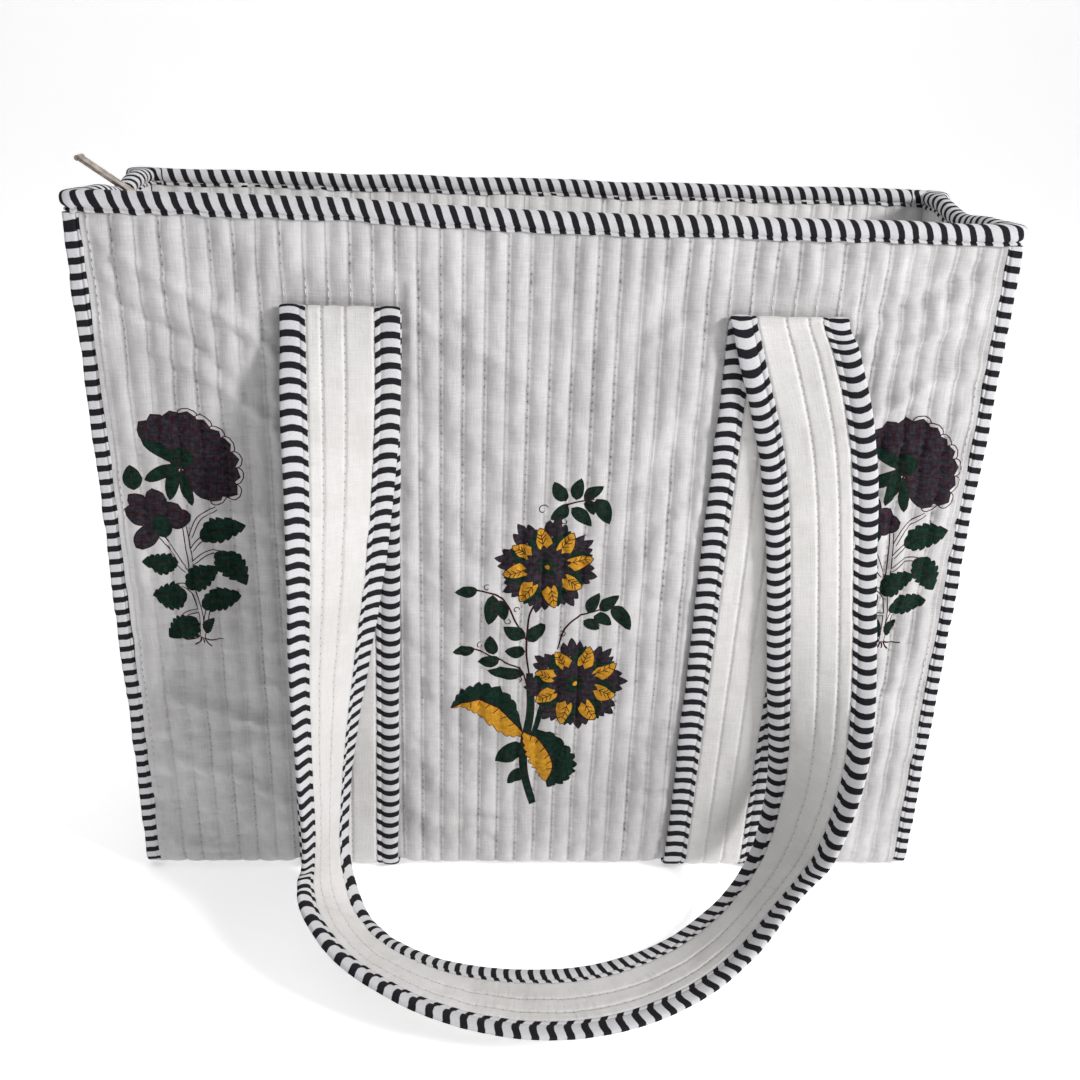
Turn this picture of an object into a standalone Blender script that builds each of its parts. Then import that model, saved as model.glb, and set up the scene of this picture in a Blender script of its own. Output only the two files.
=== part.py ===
"""Quilted cotton knitting bag: zip top, bound seams and two strap handles.

Metres, +Z up. The origin is the middle of the base, on the surface that the bag stands on.
The front panel faces -Y, and +X is to the right of someone who looks at the front.
"""
import math

import bmesh
import bpy
from mathutils import Vector

# ---- Driving dimensions
WIDTH = 0.430            # across the two side bindings
DEPTH = 0.108            # front panel to rear panel, outside
HEIGHT = 0.363           # base to the top of the rim binding
BASE_RADIUS = 0.012      # the cloth turns from panel to base round this radius
GAP = 0.0003             # between touching pieces

OUTER_CLOTH = 0.0010
WADDING = 0.0020
LINING = 0.0010
WALL = OUTER_CLOTH + WADDING + LINING + 2 * GAP

STRAP_WIDTH = 0.055
STRAP_THICK = 0.0024
STRAP_BINDING = 0.012    # width of the striped binding on each long edge of a strap
BINDING_THICK = 0.0020
STRAP_BASE_X = 0.1025    # where the two straps pass under the base
STRAP_FRONT_X = (-0.0965, 0.1095)   # left and right strap, at their tops on the front panel
FOLD_Z = 0.3172          # height of the fold where a handle leaves its stitched strap

RIM_DROP = 0.0115        # how far the rim binding reaches down the wall
RIM_LEG = 0.0010
RIM_CROWN = 0.0033       # rim cloth above the wall's top edge
SIDE_DIP = 0.0035        # the rim sags this much half-way along each side
EAR = 0.0065             # the rim stands out this far over the bound corner seams

SEAM_ROLL = 0.0075       # width of the corner bindings, across the bag
SEAM_THICK = 0.0058

ZIP_Z = HEIGHT - 0.0177  # mid-height of the zip facings
FACING_THICK = 0.0020
FACING_OUT = 0.0478      # distance of the facing's outer edge from the middle
FACING_IN = 0.0158
TAPE_IN = 0.0033
TAPE_THICK = 0.0010
TEETH_IN = 0.0009
TEETH_THICK = 0.0022
FLAP_LEFT = -0.1760      # the part of the zip top that swings open lies between these
FLAP_RIGHT = 0.1395

SLIDER_X = -0.187
SLIDER_LONG = 0.015
SLIDER_WIDE = 0.009
SLIDER_TRAVEL = 0.337
PLATE_NEAR = 0.0017      # slider plates, from the middle of the teeth
PLATE_FAR = 0.0030
POST_WIDE = 0.0010
PIVOT_RISE = 0.0016      # pull's pivot above the slider's top plate
PULL_LONG = 0.046
PULL_WIDE = 0.008
PULL_THICK = 0.0016
PULL_LEAN = math.radians(34)

HALF_DEPTH = DEPTH / 2
SHELL_HALF = WIDTH / 2 - SEAM_ROLL - GAP       # half-length of the wrapped cloth between the bindings
WALL_TOP = HEIGHT - RIM_CROWN - GAP
LIFT = STRAP_THICK + GAP                       # the base is raised this much over each strap
LIFT_RUN = 0.010                               # the base slopes up over this distance beside the strap
ARC_STEPS = 4

# ---- Route of the front handle: left fold, floor in front of the bag, right fold.
# Each point is the strap's middle line, then the direction across it, towards the loop's inner edge.
HANDLE_ROUTE = [
    (-0.0965, -0.0588, 0.3172, 1.00, 0.00, 0.00),
    (-0.0965, -0.0650, 0.2820, 0.97, 0.22, 0.00),
    (-0.0975, -0.0710, 0.2400, 0.89, 0.46, 0.00),
    (-0.1000, -0.0760, 0.1945, 0.78, 0.63, 0.00),
    (-0.1040, -0.0800, 0.1470, 0.62, 0.78, 0.00),
    (-0.1075, -0.0830, 0.0960, 0.42, 0.91, 0.00),
    (-0.1090, -0.0855, 0.0600, 0.30, 0.95, -0.06),
    (-0.1095, -0.0920, 0.0360, 0.30, 0.90, -0.32),
    (-0.1055, -0.1050, 0.0235, 0.42, 0.70, -0.57),
    (-0.0955, -0.1235, 0.0195, 0.45, 0.72, -0.53),
    (-0.0785, -0.1405, 0.0165, 0.35, 0.83, -0.44),
    (-0.0480, -0.1560, 0.0130, 0.16, 0.93, -0.32),
    (-0.0120, -0.1630, 0.0105, 0.02, 0.98, -0.22),
    (0.0250, -0.1610, 0.0098, -0.12, 0.97, -0.20),
    (0.0600, -0.1490, 0.0110, -0.28, 0.92, -0.26),
    (0.0900, -0.1300, 0.0150, -0.40, 0.84, -0.37),
    (0.1155, -0.1080, 0.0250, -0.46, 0.73, -0.50),
    (0.1330, -0.0925, 0.0400, -0.50, 0.77, -0.40),
    (0.1420, -0.0845, 0.0660, -0.59, 0.80, -0.13),
    (0.1455, -0.0785, 0.0940, -0.76, 0.65, 0.00),
    (0.1455, -0.0725, 0.1200, -0.89, 0.46, 0.00),
    (0.1440, -0.0665, 0.1480, -0.97, 0.22, 0.00),
    (0.1395, -0.0625, 0.1920, -1.00, 0.08, 0.00),
    (0.1345, -0.0620, 0.2290, -1.00, 0.08, -0.10),
    (0.1275, -0.0630, 0.2620, -0.98, 0.14, -0.20),
    (0.1180, -0.0620, 0.2930, -0.98, 0.10, -0.15),
    (0.1095, -0.0588, 0.3172, -1.00, 0.00, 0.00),
]
FOLD_RADIUS = 0.00165    # of the strap's middle line, over the fold
FOLD_STEPS = 6

# ---- Finishes: base colour, roughness, metallic
FINISHES = {
    "white_cotton": ((0.82, 0.82, 0.84), 0.85, 0.0),
    "wadding": ((0.90, 0.89, 0.86), 0.95, 0.0),
    "striped_binding": ((0.45, 0.45, 0.48), 0.80, 0.0),
    "strap_cotton": ((0.88, 0.87, 0.85), 0.85, 0.0),
    "zip_tape": ((0.86, 0.86, 0.85), 0.80, 0.0),
    "zip_teeth": ((0.90, 0.90, 0.88), 0.35, 0.0),
    "zip_metal": ((0.52, 0.50, 0.47), 0.30, 1.0),
}


def clear_scene():
    for obj in list(bpy.data.objects):
        bpy.data.objects.remove(obj, do_unlink=True)


def finish(slot, node):
    colour, roughness, metallic = FINISHES[slot]
    material = bpy.data.materials.new(node)
    material.use_nodes = True
    shader = material.node_tree.nodes["Principled BSDF"]
    shader.inputs["Base Color"].default_value = (*colour, 1.0)
    shader.inputs["Roughness"].default_value = roughness
    shader.inputs["Metallic"].default_value = metallic
    return material


def add_node(name, points, faces, slot, origin=(0, 0, 0)):
    """Make one named object from world points, with its origin at the given place."""
    origin = Vector(origin)
    mesh = bpy.data.meshes.new(name)
    mesh.from_pydata([Vector(p) - origin for p in points], [], faces)
    shape = bmesh.new()
    shape.from_mesh(mesh)
    bmesh.ops.recalc_face_normals(shape, faces=shape.faces)
    shape.to_mesh(mesh)
    shape.free()
    mesh.materials.append(finish(slot, name))
    mesh.shade_smooth()
    mesh.set_sharp_from_angle(angle=math.radians(35))
    obj = bpy.data.objects.new(name, mesh)
    obj.location = origin
    bpy.context.collection.objects.link(obj)
    return obj


def loft(rings, closed=False):
    """Join equal rings of points by quads; the ends get caps unless the row of rings is closed."""
    size = len(rings[0])
    points = [p for ring in rings for p in ring]
    faces = []
    spans = len(rings) if closed else len(rings) - 1
    for span in range(spans):
        here, there = span * size, (span + 1) % len(rings) * size
        for i in range(size):
            j = (i + 1) % size
            faces.append((here + i, here + j, there + j, there + i))
    if not closed:
        last = (len(rings) - 1) * size
        faces.append(tuple(range(size)))
        faces.append(tuple(last + i for i in reversed(range(size))))
    return points, faces


def shell(outer, inner):
    """Close two matching grids of points into a solid.

    Both grids split their quads along the same diagonal, so that neighbouring layers stay parallel.
    """
    rows, columns = len(outer), len(outer[0])
    points = [p for grid in (outer, inner) for row in grid for p in row]
    faces = []
    for start in (0, rows * columns):
        for row in range(rows - 1):
            for column in range(columns - 1):
                a = start + row * columns + column
                faces += [(a, a + 1, a + columns + 1), (a, a + columns + 1, a + columns)]
    rim = [column for column in range(columns)]
    rim += [row * columns + columns - 1 for row in range(1, rows)]
    rim += [(rows - 1) * columns + column for column in reversed(range(columns - 1))]
    rim += [row * columns for row in reversed(range(1, rows - 1))]
    far = rows * columns
    for here, there in zip(rim, rim[1:] + rim[:1]):
        faces.append((here, there, there + far, here + far))
    return points, faces


def extrude_x(outline, x_from, x_to):
    """A solid with the (y, z) outline, between two values of x."""
    return loft([[(x, y, z) for y, z in outline] for x in (x_from, x_to)])


def box(low, high):
    outline = [(low[1], low[2]), (high[1], low[2]), (high[1], high[2]), (low[1], high[2])]
    return extrude_x(outline, low[0], high[0])


# ---- The wrapped cloth: front panel, base and rear panel are one length
def wall_stations(top):
    """Round the bag's section from the front top to the rear top.

    Each station is a point (y, z) on the outside, its outward normal, and how far it has turned
    from panel (0) to base (1).
    """
    centre_y = HALF_DEPTH - BASE_RADIUS
    front = [((-HALF_DEPTH, top), (-1.0, 0.0), 0.0)]
    for step in range(ARC_STEPS + 1):
        turn = math.pi / 2 * step / ARC_STEPS
        normal = (-math.cos(turn), -math.sin(turn))
        point = (-centre_y + BASE_RADIUS * normal[0], BASE_RADIUS + BASE_RADIUS * normal[1])
        front.append((point, normal, step / ARC_STEPS))
    rear = [((-y, z), (-ny, nz), share) for (y, z), (ny, nz), share in reversed(front)]
    return front + rear


def inward(station, depth):
    (y, z), (ny, nz), _ = station
    return y - ny * depth, z - nz * depth


def wrapped_layer(name, depth, thick, slot):
    """A cloth layer of the wrapped piece, raised over the straps where they cross the base."""
    reach = STRAP_WIDTH / 2 + 2 * GAP
    stops = [(-SHELL_HALF, 0)]
    for middle in (-STRAP_BASE_X, STRAP_BASE_X):
        stops += [(middle - reach - LIFT_RUN, 0), (middle - reach, 1)]
        stops += [(middle + reach, 1), (middle + reach + LIFT_RUN, 0)]
    stops.append((SHELL_HALF, 0))
    grids = []
    for level in (depth, depth + thick):
        grids.append([[(x, *inward(station, level + LIFT * over_strap * station[2])) for x, over_strap in stops]
                      for station in wall_stations(WALL_TOP)])
    add_node(name, *shell(*grids), slot)


def side_dip(y):
    """How far the rim sags at a place along the bag's side."""
    reach = 0.036
    if abs(y) >= reach:
        return 0.0
    return SIDE_DIP * math.cos(math.pi / 2 * y / reach) ** 2


def gusset_outline():
    """Outline of a side panel, inside the wrapped cloth; its top edge dips like the rim."""
    stations = wall_stations(WALL_TOP)
    outline = [inward(station, WALL + GAP) for station in stations]
    half = outline[-1][0]
    steps = 8
    for step in range(1, steps):
        y = half - 2 * half * step / steps
        outline.append((y, WALL_TOP - side_dip(y)))
    return outline


def gusset_layer(name, side, depth, thick, slot):
    near = side * (SHELL_HALF - depth)
    far = side * (SHELL_HALF - depth - thick)
    add_node(name, *extrude_x(gusset_outline(), near, far), slot)


def body():
    layers = [("outer", 0.0, OUTER_CLOTH, "white_cotton"),
              ("wadding", OUTER_CLOTH + GAP, WADDING, "wadding"),
              ("lining", OUTER_CLOTH + WADDING + 2 * GAP, LINING, "white_cotton")]
    for layer, depth, thick, slot in layers:
        wrapped_layer(f"body_{layer}", depth, thick, slot)
        gusset_layer(f"gusset_left_{layer}", -1, depth, thick, slot)
        gusset_layer(f"gusset_right_{layer}", 1, depth, thick, slot)


# ---- Striped bindings of the bag
def rim_path():
    """Stops along the rim: middle of the wall (x, y), outward direction, ear and dip."""
    mid_x, mid_y = SHELL_HALF - WALL / 2, HALF_DEPTH - WALL / 2
    side = [(mid_y, EAR), (mid_y - 0.008, 0.6 * EAR), (0.034, 0.0), (0.018, 0.0), (0.0, 0.0)]
    right_side = [(y, ear) for y, ear in side] + [(-y, ear) for y, ear in reversed(side[:-1])]
    stops = []
    for sign in (1, -1):
        for y, ear in right_side:
            corner = sign if abs(y) == mid_y else 0
            out_y = math.copysign(1, sign * y) if corner else 0
            stops.append(((sign * mid_x, sign * y), (sign, out_y), sign * ear, side_dip(y)))
        stops.append(((0.0, -sign * mid_y), (0, -sign), 0.0, 0.0))
    return stops


def rim_binding():
    """A channel of cloth over the wall's top edge, all the way round."""
    leg_in = WALL / 2 + GAP
    leg_out = leg_in + RIM_LEG
    top, low = HEIGHT, HEIGHT - RIM_DROP
    section = [(leg_out, low, 1), (leg_out, top - 0.0028, 1), (leg_out - 0.0012, top - 0.0008, 0.9), (0, top, 0.5),
               (0.0012 - leg_out, top - 0.0008, 0), (-leg_out, top - 0.0028, 0), (-leg_out, low, 0),
               (-leg_in, low, 0), (-leg_in, top - RIM_CROWN, 0), (leg_in, top - RIM_CROWN, 0), (leg_in, low, 0)]
    rings = []
    for (x, y), (out_x, out_y), ear, dip in rim_path():
        rings.append([(x + out_x * out + ear * share, y + out_y * out, z - dip) for out, z, share in section])
    add_node("rim_binding", *loft(rings, closed=True), "striped_binding")


def seam_binding(name, side):
    """The roll of binding over one bound seam: down the front, under the side and up the rear."""
    middle_x = side * (WIDTH / 2 - SEAM_ROLL / 2)
    sides = 8
    rings = []
    for station in wall_stations(HEIGHT - RIM_DROP - GAP):
        ring = []
        for i in range(sides):
            turn = 2 * math.pi * (i + 0.5) / sides
            reach = 1 / math.cos(math.pi / sides)
            across = SEAM_ROLL / 2 * reach * math.cos(turn)
            depth = SEAM_THICK / 2 * (1 + reach * math.sin(turn))
            ring.append((middle_x + across, *inward(station, depth)))
        rings.append(ring)
    add_node(name, *loft(rings), "striped_binding")


# ---- Straps: stitched round the bag, then folded over into the free handles
def strip_pieces():
    """The three pieces across a strap: name, from, to, thickness, slot."""
    half, seam = STRAP_WIDTH / 2, STRAP_WIDTH / 2 - STRAP_BINDING
    return [("band", -seam, seam, STRAP_THICK, "strap_cotton"),
            ("binding_outer", -half, -seam - GAP, BINDING_THICK, "striped_binding"),
            ("binding_inner", seam + GAP, half, BINDING_THICK, "striped_binding")]


def stitched_strap(name, side, front_x, rear_x):
    """One strap, from its fold on the front, under the base, to its fold on the rear."""
    top = FOLD_Z - FOLD_RADIUS - STRAP_THICK / 2 - 2 * GAP
    stations = wall_stations(top)
    base_x = side * STRAP_BASE_X
    for piece, start, end, thick, slot in strip_pieces():
        rings = []
        for index, station in enumerate(stations):
            x = {0: front_x, len(stations) - 1: rear_x}.get(index, base_x)
            middle = STRAP_THICK / 2 - LIFT * (1 - station[2])
            near = inward(station, middle - thick / 2)
            far = inward(station, middle + thick / 2)
            start_x, end_x = x - side * start, x - side * end
            rings.append([(start_x, *near), (end_x, *near), (end_x, *far), (start_x, *far)])
        add_node(f"{name}_{piece}", *loft(rings), slot)


def smooth_route(route, spans):
    """A Catmull-Rom curve through the rows, which may hold any number of values."""
    rows = [Vector(row) for row in route]
    rows = [2 * rows[0] - rows[1]] + rows + [2 * rows[-1] - rows[-2]]
    curve = []
    for before, start, end, after in zip(rows, rows[1:], rows[2:], rows[3:]):
        for step in range(spans):
            t = step / spans
            curve.append(0.5 * (2 * start + (end - before) * t
                                + (2 * before - 5 * start + 4 * end - after) * t ** 2
                                + (3 * start - before - 3 * end + after) * t ** 3))
    curve.append(rows[-2])
    return curve


def fold(end_point, across, leaving):
    """The strap's half-turn over the hinge line, from the panel's side to the free side."""
    centre = Vector(end_point) + Vector((0, FOLD_RADIUS, 0))
    frames = []
    for step in range(FOLD_STEPS):
        turn = math.pi * step / FOLD_STEPS
        outward = Vector((0, math.cos(turn), math.sin(turn)))
        frames.append((centre + outward * FOLD_RADIUS, Vector(across), outward))
    return frames if leaving else frames[::-1]


def handle_frames():
    """Frames along the front handle: point, direction across, normal of the outer face."""
    curve = smooth_route(HANDLE_ROUTE, 2)
    points = [Vector(row[:3]) for row in curve]
    frames = fold(points[0], (1, 0, 0), leaving=True)
    for index, row in enumerate(curve):
        if index == 0:
            along = Vector((0, 0, -1))
        elif index == len(curve) - 1:
            along = Vector((0, 0, 1))
        else:
            along = (points[index + 1] - points[index - 1]).normalized()
        normal = along.cross(Vector(row[3:])).normalized()
        frames.append((points[index], normal.cross(along), normal))
    return frames + fold(points[-1], (-1, 0, 0), leaving=False)


def handle(name, facing):
    """A free handle. The rear one is the front one turned half round the bag's upright axis."""
    hinge = (0, facing * (HALF_DEPTH + GAP + STRAP_THICK / 2 + FOLD_RADIUS), FOLD_Z)
    for piece, start, end, thick, slot in strip_pieces():
        rings = []
        for point, across, normal in handle_frames():
            corners = [(start, 1), (end, 1), (end, -1), (start, -1)]
            ring = [point + across * reach + normal * side * thick / 2 for reach, side in corners]
            rings.append([(-facing * p.x, -facing * p.y, p.z) for p in ring])
        add_node(f"{name}_{piece}", *loft(rings), slot, origin=hinge)


def straps():
    left_x, right_x = STRAP_FRONT_X
    stitched_strap("strap_left", -1, left_x, -right_x)
    stitched_strap("strap_right", 1, right_x, -left_x)
    handle("handle_front", -1)
    handle("handle_rear", 1)


# ---- Zip top
def zip_flap(name, facing):
    """The half of the zip top that swings down with its facing, tape and row of teeth."""
    hinge = (0, facing * (HALF_DEPTH - WALL - 0.0014), ZIP_Z)
    rows = [("facing", FACING_OUT, FACING_IN, FACING_THICK, "white_cotton"),
            ("tape", FACING_IN - GAP, TAPE_IN, TAPE_THICK, "zip_tape"),
            ("teeth", TAPE_IN - GAP, TEETH_IN, TEETH_THICK, "zip_teeth")]
    for piece, out, inner, thick, slot in rows:
        y_low, y_high = sorted((facing * out, facing * inner))
        solid = box((FLAP_LEFT, y_low, ZIP_Z - thick / 2), (FLAP_RIGHT, y_high, ZIP_Z + thick / 2))
        add_node(f"zip_{piece}_{name}", *solid, slot, origin=hinge)


def zip_end(name, wall_x, open_x, slot_x):
    """The end of the zip top that stays sewn to the side, with a slot for the slider's post."""
    outline = [(wall_x, -FACING_OUT), (open_x, -FACING_OUT), (open_x, -TEETH_IN), (slot_x, -TEETH_IN),
               (slot_x, TEETH_IN), (open_x, TEETH_IN), (open_x, FACING_OUT), (wall_x, FACING_OUT)]
    rings = [[(x, y, ZIP_Z + half) for x, y in outline] for half in (-FACING_THICK / 2, FACING_THICK / 2)]
    add_node(name, *loft(rings), "zip_tape")


def boolean(target, other, operation):
    modifier = target.modifiers.new(operation.lower(), "BOOLEAN")
    modifier.operation = operation
    modifier.solver = "EXACT"
    modifier.object = other
    other.hide_render = True
    other.display_type = "WIRE"


def slider():
    """Two plates joined by a post, and the bail that holds the pull."""
    wide, post = SLIDER_WIDE / 2, POST_WIDE / 2
    section = [(-wide, -PLATE_FAR), (wide, -PLATE_FAR), (wide, -PLATE_NEAR), (post, -PLATE_NEAR),
               (post, PLATE_NEAR), (wide, PLATE_NEAR), (wide, PLATE_FAR), (-wide, PLATE_FAR),
               (-wide, PLATE_NEAR), (-post, PLATE_NEAR), (-post, -PLATE_NEAR), (-wide, -PLATE_NEAR)]
    outline = [(y, ZIP_Z + z) for y, z in section]
    ends = (SLIDER_X - SLIDER_LONG / 2, SLIDER_X + SLIDER_LONG / 2)
    origin = (SLIDER_X, 0, ZIP_Z)
    plates = add_node("zip_slider", *extrude_x(outline, *ends), "zip_metal", origin=origin)
    inner, outer, half = 0.0013, 0.0025, 0.0008
    pivot_z, foot_z = ZIP_Z + PLATE_FAR + PIVOT_RISE, ZIP_Z + PLATE_FAR - 0.0005
    arch = [(SLIDER_X + outer, foot_z)]
    turns = [math.pi * step / 8 for step in range(9)]
    arch += [(SLIDER_X + outer * math.cos(t), pivot_z + outer * math.sin(t)) for t in turns]
    arch += [(SLIDER_X - outer, foot_z), (SLIDER_X - inner, foot_z)]
    arch += [(SLIDER_X + inner * math.cos(t), pivot_z + inner * math.sin(t)) for t in reversed(turns)]
    arch.append((SLIDER_X + inner, foot_z))
    rings = [[(x, y, z) for x, z in arch] for y in (-half, half)]
    bail = add_node("cutter_bail", *loft(rings), "zip_metal")
    boolean(plates, bail, "UNION")


def pull():
    """The tab on the slider: a flat plate with a window for the bail and a rolled tip."""
    pivot = Vector((SLIDER_X, 0, ZIP_Z + PLATE_FAR + PIVOT_RISE))
    along = Vector((-math.cos(PULL_LEAN), 0, math.sin(PULL_LEAN)))
    up = Vector((math.sin(PULL_LEAN), 0, math.cos(PULL_LEAN)))
    half, tip = PULL_THICK / 2, 0.0014

    def solid(outline, half_width):
        return loft([[pivot + along * a + up * b + Vector((0, y, 0)) for a, b in outline]
                     for y in (-half_width, half_width)])

    tip_centre = PULL_LONG - tip
    roll = [math.radians(-145 + 290 * step / 8) for step in range(9)]
    outline = [(-half, half), (-half, -half)]
    outline += [(tip_centre + tip * math.cos(t), tip * math.sin(t)) for t in roll]
    tab = add_node("zip_pull", *solid(outline, PULL_WIDE / 2), "zip_metal", origin=pivot)
    window = [(0.0008, -0.003), (0.0032, -0.003), (0.0032, 0.003), (0.0008, 0.003)]
    cutter = add_node("cutter_window", *solid(window, 0.0013), "zip_metal")
    boolean(tab, cutter, "DIFFERENCE")


def zip_top():
    zip_flap("front", -1)
    zip_flap("rear", 1)
    inside = SHELL_HALF - WALL - GAP
    slider_clear = SLIDER_LONG / 2 + 0.0015
    park = SLIDER_X + SLIDER_TRAVEL
    zip_end("zip_end_left", -inside, FLAP_LEFT - 0.0005, SLIDER_X - slider_clear)
    zip_end("zip_end_right", inside, FLAP_RIGHT + 0.0005, park + slider_clear)
    slider()
    pull()


clear_scene()
body()
rim_binding()
seam_binding("seam_binding_left", -1)
seam_binding("seam_binding_right", 1)
straps()
zip_top()
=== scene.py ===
"""Looks of the quilted knitting bag: cloth, prints, bindings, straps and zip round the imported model."""
import math

import bmesh
import bpy
import numpy as np
from mathutils import Matrix, Vector
from mathutils.geometry import delaunay_2d_cdt


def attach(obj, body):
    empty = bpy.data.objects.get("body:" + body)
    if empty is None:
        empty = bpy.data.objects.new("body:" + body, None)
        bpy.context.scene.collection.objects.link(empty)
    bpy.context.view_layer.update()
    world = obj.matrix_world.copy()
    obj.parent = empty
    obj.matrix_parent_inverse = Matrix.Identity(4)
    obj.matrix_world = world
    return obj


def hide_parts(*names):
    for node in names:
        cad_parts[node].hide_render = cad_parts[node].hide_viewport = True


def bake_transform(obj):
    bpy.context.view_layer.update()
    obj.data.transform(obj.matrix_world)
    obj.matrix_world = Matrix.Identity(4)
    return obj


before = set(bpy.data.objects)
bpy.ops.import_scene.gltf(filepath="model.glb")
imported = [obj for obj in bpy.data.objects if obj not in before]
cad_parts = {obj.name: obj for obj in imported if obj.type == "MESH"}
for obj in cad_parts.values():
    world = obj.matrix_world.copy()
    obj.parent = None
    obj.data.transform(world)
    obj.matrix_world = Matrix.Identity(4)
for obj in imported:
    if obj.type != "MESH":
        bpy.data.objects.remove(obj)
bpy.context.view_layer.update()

MM = 0.001

# ---- Sizes shared with the CAD source, in metres: x runs to the right, y to the rear and z up
HEIGHT = 0.363            # crown of the rim binding
HALF_DEPTH = 0.054        # face of the front and rear panels, from the bag's middle
BASE_RADIUS = 0.012       # bend between a panel and the base
GAP = 0.0003              # between neighbouring pieces
WALL = 0.0046             # thickness of the quilted wall
SHELL_HALF = 0.2072       # face of the gussets, from the bag's middle
WALL_TOP = 0.3594         # raw edge of the wall, inside the rim binding
SEAM_ROLL = 0.0075        # width of a seam binding
RIM_DROP = 0.0115         # depth of the rim binding
SIDE_DIP = 0.0035         # sag of the rim over the gussets
EAR = 0.0065              # how far the corners of the rim stand out
STRAP_HALF = 0.0275       # half the strap's width
STRAP_THICK = 0.0024
STRAP_BINDING = 0.012     # width of one striped edge of the strap
STRAP_BASE_X = 0.1025     # middle of the straps at the base
STRAP_FRONT_X = (-0.0965, 0.1095)   # and at their folds, left and right
FOLD_Z = 0.3172           # height of the folds that the handles swing about
FOLD_RADIUS = 0.00165
HINGE_Y = 0.05715
LIFT = 0.0027             # how far the base rides up over a strap
LIFT_RUN = 0.010
ZIP_Z = 0.3453
FACING_OUT = 0.0478       # edges of the zip's facing, tape and teeth, from the zip line
FACING_IN = 0.0158
TAPE_IN = 0.0033
TEETH_IN = 0.0009

# ---- How the cloth bag differs from the straight solids
LEAN = 0.0024             # the left side's lean outwards at its top
LIFT_LEFT = 0.0035        # the mouth's rise at the left
LIFT_REAR = 0.0026        # and at the rear
FOLD_THIN = 0.60          # share of the strap's thickness left in a fold

HANDLE_ROUTE = [
    # the front handle from its left fold to its right: x, y, z and the direction across the strap
    (-0.0965, -0.0588, 0.3172, 1.00, 0.00, 0.00),
    (-0.0965, -0.0650, 0.2820, 0.97, 0.22, 0.00),
    (-0.0975, -0.0710, 0.2400, 0.89, 0.46, 0.00),
    (-0.1000, -0.0760, 0.1945, 0.78, 0.63, 0.00),
    (-0.1040, -0.0800, 0.1470, 0.62, 0.78, 0.00),
    (-0.1075, -0.0830, 0.0960, 0.42, 0.91, 0.00),
    (-0.1090, -0.0855, 0.0600, 0.30, 0.95, -0.06),
    (-0.1095, -0.0920, 0.0360, 0.30, 0.90, -0.32),
    (-0.1055, -0.1050, 0.0235, 0.42, 0.70, -0.57),
    (-0.0955, -0.1235, 0.0195, 0.45, 0.72, -0.53),
    (-0.0785, -0.1405, 0.0165, 0.35, 0.83, -0.44),
    (-0.0480, -0.1560, 0.0130, 0.16, 0.93, -0.32),
    (-0.0120, -0.1630, 0.0105, 0.02, 0.98, -0.22),
    (0.0250, -0.1610, 0.0098, -0.12, 0.97, -0.20),
    (0.0600, -0.1490, 0.0110, -0.28, 0.92, -0.26),
    (0.0900, -0.1300, 0.0150, -0.40, 0.84, -0.37),
    (0.1155, -0.1080, 0.0250, -0.46, 0.73, -0.50),
    (0.1330, -0.0925, 0.0400, -0.50, 0.77, -0.40),
    (0.1420, -0.0845, 0.0660, -0.59, 0.80, -0.13),
    (0.1455, -0.0785, 0.0940, -0.76, 0.65, 0.00),
    (0.1455, -0.0725, 0.1200, -0.89, 0.46, 0.00),
    (0.1440, -0.0665, 0.1480, -0.97, 0.22, 0.00),
    (0.1395, -0.0625, 0.1920, -1.00, 0.08, 0.00),
    (0.1345, -0.0620, 0.2290, -1.00, 0.08, -0.10),
    (0.1275, -0.0630, 0.2620, -0.98, 0.14, -0.20),
    (0.1180, -0.0620, 0.2930, -0.98, 0.10, -0.15),
    (0.1095, -0.0588, 0.3172, -1.00, 0.00, 0.00),
]

# ---- Sewing
CHANNEL = 0.0102          # distance between the quilting lines
STITCH = 0.0040           # from one needle hole to the next
PINCH = 0.0037            # from one stitch to the next on the bindings
PUFF = 0.0019             # height of the wadding between two quilting lines
LINING_PUFF = 0.0012
HELD_LEVEL = -0.0006      # level of the cloth under straps and rim
HANDLE_ROOM = 0.014       # flat cloth above a strap's top, where a raised handle passes


# ---- Numbers that vary smoothly
def value_noise(u, v, seed):
    """Smooth numbers from -1 to 1, over cells one unit wide; the same on every run."""
    cell_u, cell_v = np.floor(u), np.floor(v)
    part_u, part_v = u - cell_u, v - cell_v
    part_u = part_u * part_u * (3 - 2 * part_u)
    part_v = part_v * part_v * (3 - 2 * part_v)

    def corner(i, j):
        mixed = np.sin(i * 127.1 + j * 311.7 + seed * 74.7) * 43758.5453
        return 2 * (mixed - np.floor(mixed)) - 1

    low = corner(cell_u, cell_v) * (1 - part_u) + corner(cell_u + 1, cell_v) * part_u
    high = corner(cell_u, cell_v + 1) * (1 - part_u) + corner(cell_u + 1, cell_v + 1) * part_u
    return low * (1 - part_v) + high * part_v


def smoothstep(low, high, value):
    t = np.clip((value - low) / (high - low), 0, 1)
    return t * t * (3 - 2 * t)


# ---- Mesh helpers
def grid_faces(rows, columns, closed_rows=False, closed_columns=False):
    """Quads between the points of a grid that is stored row by row."""
    row_count = rows if closed_rows else rows - 1
    column_count = columns if closed_columns else columns - 1
    row, column = np.meshgrid(np.arange(row_count), np.arange(column_count), indexing="ij")
    next_row, next_column = (row + 1) % rows, (column + 1) % columns
    corners = [row * columns + column, row * columns + next_column,
               next_row * columns + next_column, next_row * columns + column]
    return np.stack(corners, -1).reshape(-1, 4)


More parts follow.
